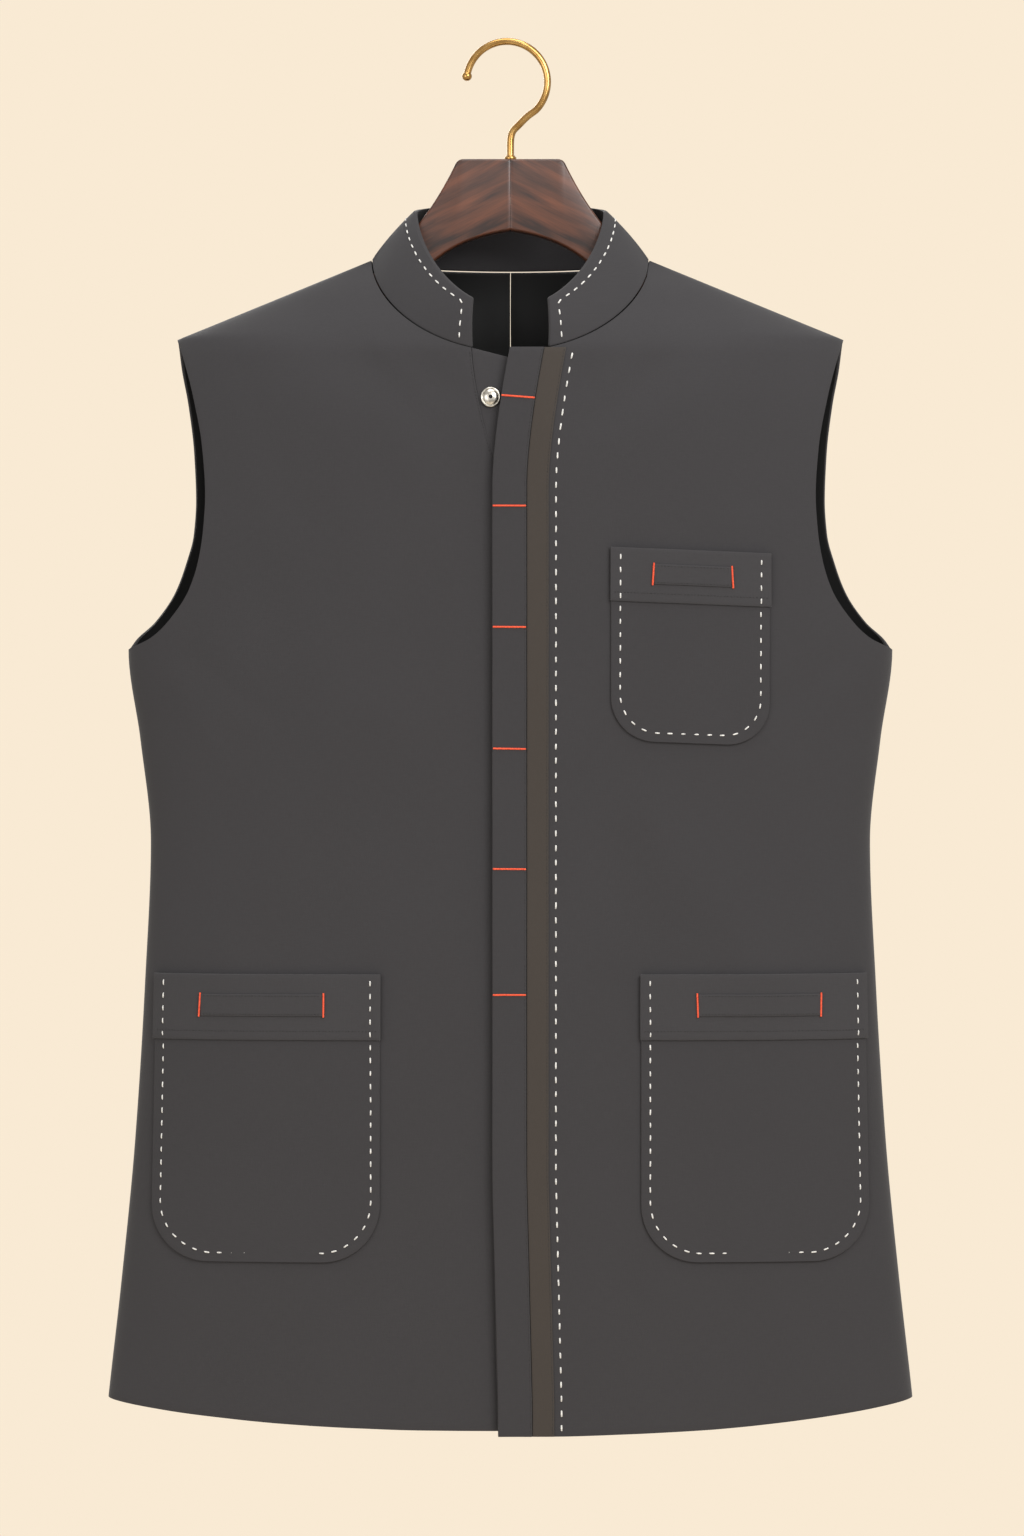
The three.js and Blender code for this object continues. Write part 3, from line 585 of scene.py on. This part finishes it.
def make_lap():
    z = np.linspace(-1, 0, 190)
    for name, start, width, top, thick, material, slot in (
        ("placket", 0.0, PLACKET_WIDTH, PLACKET_OUT, PLACKET_WALL, CLOTH, "jacket_cloth"),
        ("ribbon", PLACKET_WIDTH + SEAM, RIBBON_WIDTH, RIBBON_OUT, RIBBON_WALL, RIBBON, "ribbon"),
    ):
        across = np.linspace(0, width, 9) + start
        low = hem_z(lap_edge(HEM_Z) + across, LEFT_DROP)
        heights = mix(low[None, :], END_Z - 0.2, (z[:, None] + 1))
        x = lap_edge(heights) + across[None, :]
        piece = cloth_wall(f"{name}_strip", LEFT, x, heights, top, thick, edge=0.3)
        finish(piece, material, slot, name)


def make_stand():
    share = np.linspace(0, 1, 12)[None, :]
    z = np.linspace(HEM_Z, END_Z, 190)[:, None]
    inner = -stand_seam(z) + 0.3
    x = mix(inner, STAND_EDGE, share)
    fall = STAND_SLOPE * (x - inner) * smooth((z - END_Z + 30) / 30)
    low = hem_z(x, FRONT_DROP)
    z = mix(low, END_Z, (z - HEM_Z) / (END_Z - HEM_Z)) - fall
    piece = cloth_wall("right_button_stand", RIGHT, x, z, SHELL_OUT, SHELL_WALL)
    finish(piece, CLOTH, "jacket_cloth", "button_stand")


# ------------------------------------------------------------------ collar

def collar_point(turn, up, inwards=0.0):
    side = 1 if turn >= 0 else -1
    low = 180 - abs(turn) * (180 - COLLAR_END)
    high = math.radians(180 - abs(turn) * (180 - RIM_END))
    x, z = neckline(low)
    form = BACK if low >= 90 else (LEFT if side > 0 else RIGHT)
    base = form.points(side * x, z)
    ahead = math.cos(high)
    rim = np.array([
        side * RIM_HALF * math.sin(high),
        -RIM_FRONT * ahead if ahead > 0 else -RIM_BACK * ahead,
        RIM_Z - (RIM_DROP * ahead ** RIM_POWER if ahead > 0 else RIM_RISE * ahead),
    ])
    outwards = np.array([base[0], base[1], 0.0])
    outwards /= np.linalg.norm(outwards)
    return mix(base, rim, up) + outwards * (BELLY * 4 * up * (1 - up) - inwards)


def collar_normal(turn, up):
    step = 0.01
    low, high = max(-1, turn - step), min(1, turn + step)
    around = collar_point(high, up) - collar_point(low, up)
    rise = collar_point(turn, up + step) - collar_point(turn, up - step)
    normal = np.cross(rise, around)
    middle = collar_point(turn, up)
    normal *= 1 if normal[0] * middle[0] + normal[1] * middle[1] > 0 else -1
    return normal / np.linalg.norm(normal)


def make_collar():
    turns = np.linspace(-1, 1, 161)
    ups = np.linspace(0.01, 1, 15)
    outer = np.array([[collar_point(t, u) for t in turns] for u in ups])
    inner = np.array([[collar_point(t, u, COLLAR_WALL) for t in turns] for u in ups])
    piece = wall("band_collar", outer, inner)
    soften(piece, 1.0, segments=4)
    finish(piece, CLOTH, "jacket_cloth", "collar")


# ------------------------------------------------------------------ pockets

def patch(p, depths, extra=0.0, columns=33):
    side = 1 if p["x"] > 0 else -1
    depths = np.asarray(depths, float)[:, None]
    cut = np.maximum(0, p["corner"] - (p["height"] - depths))
    rounding = p["corner"] - np.sqrt(np.maximum(0, p["corner"] ** 2 - cut ** 2))
    half = p["width"] / 2 + extra - rounding
    across = half * np.linspace(-1, 1, columns)[None, :]
    x = p["x"] + across + np.maximum(0, across * side / half) * side * depths / p["height"] * p["flare"]
    return x, p["z"] - depths - p["tilt"] * (x - p["x"])


def make_pockets():
    for name, p in POCKETS.items():
        form = LEFT if p["x"] > 0 else RIGHT
        straight = np.linspace(0, p["height"] - p["corner"], 34, endpoint=False)
        bend = p["height"] - p["corner"] * (1 - np.sin(np.linspace(0, math.pi / 2, 16)))
        x, z = patch(p, [*straight, *bend])
        bag = cloth_wall(f"{name}_bag_cloth", form, x, z, BAG_OUT, BAG_WALL, edge=0.5)
        finish(bag, CLOTH, "jacket_cloth", f"{name}_bag")
        x, z = patch(p, np.linspace(0, p["band"], 14), extra=BAND_OVERHANG)
        band = cloth_wall(f"{name}_band_cloth", form, x, z, BAND_OUT, BAND_WALL, edge=0.45)
        finish(band, BAND_CLOTH, "pocket_band", f"{name}_band")
        x = p["tab_x"] + p["tab_width"] * np.linspace(-0.5, 0.5, 22)[None, :]
        z = (p["z"] - p["tab_drop"] + p["tab_height"] * np.linspace(0.5, -0.5, 7)[:, None]
             - p["tilt"] * (x - p["x"]))
        tab = cloth_wall(f"{name}_tab_cloth", form, x, z, TAB_OUT, TAB_WALL, edge=0.3)
        finish(tab, BAND_CLOTH, "ribbon", f"{name}_tab")


# ------------------------------------------------------------------ stitches and bar tacks

def tube_faces(first, rings, sides):
    """Faces of a closed tube whose rings of vertices start at this one."""
    faces = []
    for r in range(rings - 1):
        for s in range(sides):
            a = first + r * sides + s
            b = first + r * sides + (s + 1) % sides
            faces.append([a, b, b + sides, a + sides])
    last = first + (rings - 1) * sides
    faces.append([first + s for s in reversed(range(sides))])
    faces.append([last + s for s in range(sides)])
    return faces


def face_outwards(piece):
    work = bmesh.new()
    work.from_mesh(piece.data)
    bmesh.ops.recalc_face_normals(work, faces=work.faces)
    work.to_mesh(piece.data)
    work.free()


def place_along(distance, run, values):
    """A row of values at this distance along a run."""
    return np.array([np.interp(distance, run, values[:, c]) for c in range(3)])


def sewn(name, runs, pitch, length, radius, material, slot, height=0.25):
    """Runs of thread on the cloth as one mesh. A run is its points and its outward normals."""
    rings = ((-0.5, 0.3, -1.4), (-0.36, 0.85, -0.2), (0, 1, 0.25), (0.36, 0.85, -0.2),
             (0.5, 0.3, -1.4))
    sides = 6
    vertices, faces = [], []
    for points, normals in runs:
        points, normals = np.asarray(points), np.asarray(normals)
        run = np.concatenate([[0], np.linalg.norm(np.diff(points, axis=0), axis=1).cumsum()])
        count = max(1, int(round(run[-1] / pitch)))
        for k in range(count):
            at = run[-1] * (k + 0.5) / count + chance.uniform(-0.25, 0.25)
            long = length * chance.uniform(0.9, 1.08)
            lean = chance.uniform(-0.05, 0.05)
            up = place_along(at, run, normals)
            up /= np.linalg.norm(up)
            middle = place_along(at, run, points)
            way = place_along(at + 0.5, run, points) - place_along(at - 0.5, run, points)
            way /= np.linalg.norm(way)
            across = np.cross(way, up)
            way = way + across * lean
            first = len(vertices)
            for share, size, lift in rings:
                centre = middle + way * share * long + up * (height + lift * radius)
                for s in range(sides):
                    turn = 2 * math.pi * s / sides
                    vertices.append(centre + radius * size * (
                        across * math.cos(turn) + up * 0.8 * math.sin(turn)))
            faces += tube_faces(first, len(rings), sides)
    piece = mesh_object(name, vertices, faces)
    face_outwards(piece)
    only(piece)
    bpy.ops.object.shade_smooth_by_angle(angle=math.radians(60))
    return finish(piece, material, slot)


def run_on(form, x, z, out):
    x, z = np.broadcast_arrays(np.asarray(x, float), np.asarray(z, float))
    points = form.points(x, z, out)
    return points, form.points(x, z, out + 1.0) - points


def straight_run(form, start, end, out, steps=40):
    t = np.linspace(0, 1, steps)
    return run_on(form, mix(start[0], end[0], t), mix(start[1], end[1], t), out)


def make_front_stitches():
    z = np.linspace(END_Z - 1, HEM_Z - 18.5, 300)
    sewn("front_stitches", [run_on(LEFT, lap_edge(z) + FRONT_LINE, z, 0.0)], FRONT_PITCH,
         *FRONT_THREAD, WHITE_THREAD, "button")
    lines = [run_on(LEFT, lap_edge(z) + at, z, out) for at, out in (
        (PLACKET_WIDTH - 0.9, 1.45), (PLACKET_WIDTH + RIBBON_WIDTH - 0.6, 0.85))]
    seam_z = np.linspace(END_Z - 2, END_Z - STAND_LENGTH, 60)
    lines.append(run_on(RIGHT, -stand_seam(seam_z) - 1.1, seam_z, 0.0))
    # The darkened thread paints the shade of the grooves along the ribbon's edges and the stand's seam.
    sewn("tonal_edge_stitches", lines, TONAL_PITCH, *TONAL_THREAD, THREAD_WITH_GROOVE_SHADE, "ribbon", height=0.05)


def make_collar_stitches():
    end, low, high = 0.968, 0.08, 0.845
    route = [(-end, u) for u in np.linspace(low, high - 0.05, 14)]
    route += [(t, high) for t in np.linspace(-end + 0.012, end - 0.012, 150)]
    route += [(end, u) for u in np.linspace(high - 0.05, low, 14)]
    points = [collar_point(t, u) for t, u in route]
    normals = [collar_normal(t, u) for t, u in route]
    sewn("collar_stitches", [(points, normals)], COLLAR_PITCH, *COLLAR_THREAD, WHITE_THREAD, "button")


def pocket_route(p, inset):
    """The U of a pocket's stitches, down one side, round the bottom and up the other."""
    half, corner = p["width"] / 2 - inset, p["corner"] - inset * 0.6
    depth = p["height"] - inset
    route = [(-half, d) for d in np.linspace(1.5, depth - corner, 40)]
    for sign, turns in ((-1, np.linspace(0, math.pi / 2, 16)),
                        (1, np.linspace(math.pi / 2, 0, 16))):
        route += [(sign * (half - corner + corner * math.cos(t)),
                   depth - corner + corner * math.sin(t)) for t in turns[1:]]
    route += [(half, d) for d in np.linspace(depth - corner, 1.5, 40)[1:]]
    across, down = np.array(route).T
    side = 1 if p["x"] > 0 else -1
    flare = np.maximum(0, across * side / half) * side * down / p["height"] * p["flare"]
    x = p["x"] + across + flare
    return x, p["z"] - down - p["tilt"] * (x - p["x"]), down


def make_pocket_stitches():
    tonal = []
    for name, p in POCKETS.items():
        form = LEFT if p["x"] > 0 else RIGHT
        x, z, down = pocket_route(p, STITCH_INSET)
        out = np.where(down < p["band"], BAND_OUT, BAG_OUT)
        sewn(f"{name}_stitches", [run_on(form, x, z, out)], POCKET_PITCH, *POCKET_THREAD,
             WHITE_THREAD, "button")
        half = p["width"] / 2
        level = p["z"] - (p["band"] - BAND_LINE)
        fall = [-p["tilt"] * s * half for s in (-1, 1)]
        tonal.append(straight_run(form, (p["x"] - half + 1, level + fall[0]),
                                  (p["x"] + half - 1, level + fall[1]), BAND_OUT))
        for level in (-1, 1):
            reach = p["tab_width"] / 2 - 1.5
            z0 = p["z"] - p["tab_drop"] + level * (p["tab_height"] / 2 - 1.1)
            lean = p["tilt"] * (p["tab_x"] - p["x"])
            tonal.append(straight_run(
                form, (p["tab_x"] - reach, z0 - lean + p["tilt"] * reach),
                (p["tab_x"] + reach, z0 - lean - p["tilt"] * reach), TAB_OUT))
    # The darkened thread paints the shade of the grooves along the pocket bands and tabs.
    sewn("tonal_pocket_stitches", tonal, TONAL_PITCH, *TONAL_THREAD, THREAD_WITH_GROOVE_SHADE, "ribbon", height=0.05)


def make_bar_tacks():
    """Each bar tack is a padded ridge, ribbed by the threads that wrap it."""
    vertices, faces, spans = [], [], []
    for k, z in enumerate(BAR_HEIGHTS):
        x = float(lap_edge(z))
        lean = 1.6 if k == 0 else chance.uniform(-0.3, 0.5)
        spans.append((LEFT, (x + 0.2, z + lean / 2), (x + PLACKET_WIDTH - 0.2, z - lean / 2),
                      PLACKET_OUT))
    for p in POCKETS.values():
        form = LEFT if p["x"] > 0 else RIGHT
        for side in (-1, 1):
            x = p["tab_x"] + side * (p["tab_width"] / 2 + TAB_END)
            z = p["z"] - p["tab_drop"] - p["tilt"] * (x - p["x"])
            reach = p["tab_height"] / 2 + BAR_REACH
            lean = chance.uniform(-0.5, 0.5)
            spans.append((form, (x + lean, z + reach), (x - lean, z - reach), 3.6))
    for form, start, end, out in spans:
        steps = int(math.dist(start, end) / BAR_RIB) * 2 + 1
        points, normals = straight_run(form, start, end, out, steps)
        way = np.gradient(points, axis=0)
        way /= np.linalg.norm(way, axis=1, keepdims=True)
        across = np.cross(way, normals)
        first = len(vertices)
        for k in range(steps):
            size = BAR_RADIUS * (1.0 if k % 2 else 0.86) * (0.55 if k in (0, steps - 1) else 1)
            for s in range(BAR_SIDES):
                turn = 2 * math.pi * s / BAR_SIDES
                vertices.append(points[k] + normals[k] * 0.15 + size * (
                    across[k] * math.cos(turn) + normals[k] * math.sin(turn)))
        faces += tube_faces(first, steps, BAR_SIDES)
    piece = mesh_object("orange_bar_tacks", vertices, faces)
    face_outwards(piece)
    finish(piece, ORANGE_THREAD, "ribbon")


# ------------------------------------------------------------------ hard pieces

def settle(piece):
    """Puts a piece's place, turn and size into its mesh."""
    only(piece)
    bpy.ops.object.transform_apply(location=True, rotation=True, scale=True)


def pick_faces(piece, test):
    bpy.ops.mesh.select_mode(type="FACE")
    bpy.ops.mesh.select_all(action="DESELECT")
    work = bmesh.from_edit_mesh(piece.data)
    for face in work.faces:
        face.select_set(test(face))
    bmesh.update_edit_mesh(piece.data)


def make_button():
    bpy.ops.object.select_all(action="DESELECT")
    bpy.ops.mesh.primitive_cylinder_add(vertices=56, radius=BUTTON_RADIUS * MM, depth=1.4 * MM)
    piece = bpy.context.object
    piece.name = "silver_button"
    bpy.ops.object.mode_set(mode="EDIT")
    pick_faces(piece, lambda face: face.normal.z > 0.9)
    for inset, rise in ((0.45, 0.25), (0.4, 0.0), (0.25, -0.3), (0.25, 0.35), (0.9, 0.75),
                        (1.0, 0.5), (0.9, 0.2), (0.8, 0.0), (0.12, 0.15), (0.25, -1.3)):
        bpy.ops.mesh.inset(thickness=inset * MM)
        bpy.ops.transform.translate(value=(0, 0, rise * MM))
    bpy.ops.object.mode_set(mode="OBJECT")
    soften(piece, 0.12, segments=2, angle=35)
    seat, outwards = run_on(RIGHT, BUTTON_X, BUTTON_Z, 1.2)
    piece.matrix_world = Matrix.Translation(Vector(seat) * MM) @ Vector(outwards).to_track_quat(
        "Z", "Y").to_matrix().to_4x4()
    settle(piece)
    finish(piece, SILVER, "button", "button")
    # Faces within 1.25 mm of the button's middle, round its sunken centre, take the near-black finish
    # as painted shade.
    piece.data.materials.append(RECESS_PAINTED_SHADE)
    middle = Vector(seat) * MM
    for face in piece.data.polygons:
        away = (face.center - middle)
        away -= Vector(outwards) * away.dot(Vector(outwards))
        if away.length < 1.25 * MM:
            face.material_index = 1


def bezier(a, b, c, t):
    return (1 - t) ** 2 * a + 2 * t * (1 - t) * b + t * t * c


def hanger_edges():
    """Stations along the left half of the hanger: x with the heights of its top and its bottom."""
    corner = [(30, HANGER_TOP), (34, HANGER_TOP), (35.5, HANGER_TOP - 4)]
    flare = [(35.5, HANGER_TOP - 4), (47, -101), (60, -116.5)]
    arm = [(60, -116.5), (75, -143), (98, -152)]
    arch = [(0, -119), (30, -123), (48, -138.2)]
    elbow = [(48, -138.2), (71, -158.5), (98, -169.5)]

    def trace(curves, ends):
        points = []
        for a, b, c in curves:
            for t in np.linspace(0, 1, 24):
                points.append((bezier(a[0], b[0], c[0], t), bezier(a[1], b[1], c[1], t)))
        points += ends
        return np.array(points).T

    tip_top = float(ridge_z(200)) - 8.5
    top_x, top_z = trace([corner, flare, arm], [(198, tip_top), (200.4, tip_top - 3)])
    low_x, low_z = trace([arch, elbow], [(195, tip_top - 15), (200.4, tip_top - 8)])
    stations = np.concatenate([np.linspace(0.0, 98, 48), np.linspace(108, 192, 8),
                               [195, 197.5, 199.2, 200.2]])
    stations = np.unique(np.concatenate([stations, [30, 31.5, 33, 34.2, 35, 35.5, 36.2]]))
    top = np.interp(stations, np.concatenate([[0], top_x]), np.concatenate([[HANGER_TOP], top_z]))
    return stations, top, np.interp(stations, low_x, low_z)


def make_hanger():
    stations, top, low = hanger_edges()
    for name, side in (("left", 1), ("right", -1)):
        bpy.ops.object.select_all(action="DESELECT")
        # The plane's own corners give way to the outline's.
        bpy.ops.mesh.primitive_plane_add(size=1)
        piece = bpy.context.object
        piece.name = f"{name}_hanger_half"
        work = bmesh.new()
        columns = [[work.verts.new((side * x * MM, -HANGER_THICK / 2 * MM, z * MM))
                    for z in (t, b)] for x, t, b in zip(stations + 0.02, top, low)]
        for (a, b), (c, d) in zip(columns, columns[1:]):
            work.faces.new((a, b, d, c))
        bmesh.ops.recalc_face_normals(work, faces=work.faces)
        work.to_mesh(piece.data)
        work.free()
        bpy.ops.object.mode_set(mode="EDIT")
        bpy.ops.mesh.select_all(action="SELECT")
        bpy.ops.mesh.extrude_region_move(
            TRANSFORM_OT_translate={"value": (0, HANGER_THICK * MM, 0)})
        bpy.ops.mesh.select_all(action="SELECT")
        bpy.ops.mesh.normals_make_consistent(inside=False)
        bpy.ops.object.mode_set(mode="OBJECT")
        chamfer_hanger(piece)
        finish(piece, WALNUT, "hanger_wood", f"hanger_{name}")


def chamfer_hanger(piece):
    """Chamfers the long edges of a half, but not those of its mitre."""
    work = bmesh.new()
    work.from_mesh(piece.data)
    middle = 0.5 * MM
    edges = [e for e in work.edges if len(e.link_faces) == 2
             and e.calc_face_angle(0) > math.radians(60)
             and not all(abs(v.co.x) < middle for v in e.verts)]
    bmesh.ops.bevel(work, geom=edges, offset=2.0 * MM, offset_type="OFFSET", segments=1,
                    profile=0.5, affect="EDGES", clamp_overlap=True)
    work.to_mesh(piece.data)
    work.free()
    soften(piece, 0.35, segments=2, angle=24)


def make_hook():
    """The hook's wire, a round curve made into a mesh, from its ball end down into the wood."""
    wire, centre_z = HOOK_WIRE / 2, HOOK_WIRE / 2 - HOOK_BEND
    bend = [(HOOK_X + HOOK_BEND * math.cos(math.radians(a)),
             centre_z + HOOK_BEND * math.sin(math.radians(a))) for a in np.linspace(172, -46, 60)]
    last = bend[-1]
    stem = [(last[0] - 5.5, last[1] - 3.6), (5.2, -51.6), (2.2, -54.0), (0.6, -57.0), (0.0, -61.0),
            (0.0, -66.0), (0.0, -72.0), (0.0, -80.0), (0.0, -97.0)]
    curve = bpy.data.curves.new("hook_line", "CURVE")
    curve.dimensions = "3D"
    curve.bevel_depth = wire * MM
    curve.bevel_resolution = 6
    curve.use_fill_caps = True
    line = curve.splines.new("NURBS")
    route = bend + stem
    line.points.add(len(route) - 1)
    for point, (x, z) in zip(line.points, route):
        point.co = (x * MM, 0, z * MM, 1)
    line.order_u = 4
    line.use_endpoint_u = True
    line.resolution_u = 3
    wire_object = bpy.data.objects.new("hook_wire", curve)
    bpy.context.collection.objects.link(wire_object)
    only(wire_object)
    bpy.ops.object.convert(target="MESH")
    piece = bpy.context.object
    bpy.ops.object.shade_smooth_by_angle(angle=math.radians(50))
    finish(piece, BRASS, "brass", "hook")
    bpy.ops.object.select_all(action="DESELECT")
    bpy.ops.mesh.primitive_uv_sphere_add(segments=32, ring_count=20, radius=3.2 * MM,
                                         location=(bend[0][0] * MM, 0, bend[0][1] * MM))
    ball = bpy.context.object
    ball.name = "hook_ball"
    ball.scale = (1, 1, 0.96)
    settle(ball)
    bpy.ops.object.shade_smooth()
    finish(ball, BRASS, "brass")


def make_ferrule():
    bpy.ops.object.select_all(action="DESELECT")
    bpy.ops.mesh.primitive_cylinder_add(vertices=40, radius=3.8 * MM, depth=1.4 * MM,
                                        location=(0, 0, (HANGER_TOP + 1.0) * MM))
    piece = bpy.context.object
    piece.name = "stem_ferrule"
    bpy.ops.object.mode_set(mode="EDIT")
    pick_faces(piece, lambda face: face.normal.z > 0.9)
    for inset, rise in ((0.6, 0.0), (0.15, 0.7), (0.25, 0.35)):
        bpy.ops.mesh.inset(thickness=inset * MM)
        bpy.ops.transform.translate(value=(0, 0, rise * MM))
    bpy.ops.object.mode_set(mode="OBJECT")
    settle(piece)
    soften(piece, 0.15, segments=2, angle=35)
    finish(piece, BRASS, "brass", "ferrule")


# ------------------------------------------------------------------ studio

def make_studio():
    scene = bpy.context.scene
    scene.view_settings.view_transform = "Standard"
    lens = bpy.data.cameras.new("camera")
    lens.lens = 117.2
    lens.sensor_width = 36
    camera = bpy.data.objects.new("camera", lens)
    camera.location = (0.001, -3.2, -0.4627)
    camera.rotation_euler = (math.pi / 2, 0, 0)
    bpy.context.collection.objects.link(camera)
    scene.camera = camera
    for name, place, power, size in (
        ("key", (1.3, -2.3, 0.9), 62, 1.6), ("fill", (-1.7, -2.5, -0.2), 26, 2.0),
        ("top", (0.1, -0.5, 1.9), 22, 1.4), ("behind", (-0.6, 2.4, 0.6), 34, 1.8),
    ):
        light = bpy.data.lights.new(name, "AREA")
        light.energy = power
        light.size = size
        lamp = bpy.data.objects.new(name, light)
        lamp.location = place
        aim = Vector((0, 0, -0.42)) - Vector(place)
        lamp.rotation_euler = aim.to_track_quat("-Z", "Y").to_euler()
        bpy.context.collection.objects.link(lamp)
    world = bpy.data.worlds.new("studio")
    world.use_nodes = True
    scene.world = world
    world.node_tree.nodes.clear()
    add = nodes_of(world.node_tree)
    seen = add("ShaderNodeBackground", inputs={"Color": (0.947, 0.823, 0.658, 1), "Strength": 1.0})
    lit = add("ShaderNodeBackground", inputs={"Color": (1.0, 0.97, 0.93, 1), "Strength": 0.55})
    rays = add("ShaderNodeLightPath")
    shown = add("ShaderNodeMixShader", inputs={
        0: rays.outputs["Is Camera Ray"], 1: lit.outputs[0], 2: seen.outputs[0]})
    add("ShaderNodeOutputWorld", inputs={0: shown.outputs[0]})
    bpy.ops.object.select_all(action="DESELECT")
    bpy.ops.mesh.primitive_circle_add(vertices=96, radius=2.0, fill_type="NGON",
                                      location=(0, 0, -1.3))
    floor = bpy.context.object
    floor.name = "floor"
    material, add, shader, tree = new_material("pale_floor")
    place = add("ShaderNodeTexCoord")
    reach = add("ShaderNodeVectorMath", operation="LENGTH", inputs={0: place.outputs["Object"]})
    fade = add("ShaderNodeMapRange", inputs={
        "Value": reach.outputs["Value"], "From Min": 0.7, "From Max": 1.95, "To Min": 1.0,
        "To Max": 0.0})
    tree.links.new(fade.outputs[0], shader.inputs["Alpha"])
    shader.inputs["Base Color"].default_value = (0.86, 0.76, 0.62, 1)
    shader.inputs["Roughness"].default_value = 0.9
    floor.data.materials.append(material)


make_studio()
make_fronts()
make_backs()
make_lap()
make_stand()
make_collar()
make_pockets()
make_front_stitches()
make_collar_stitches()
make_pocket_stitches()
make_bar_tacks()
make_button()
make_hanger()
make_hook()
make_ferrule()
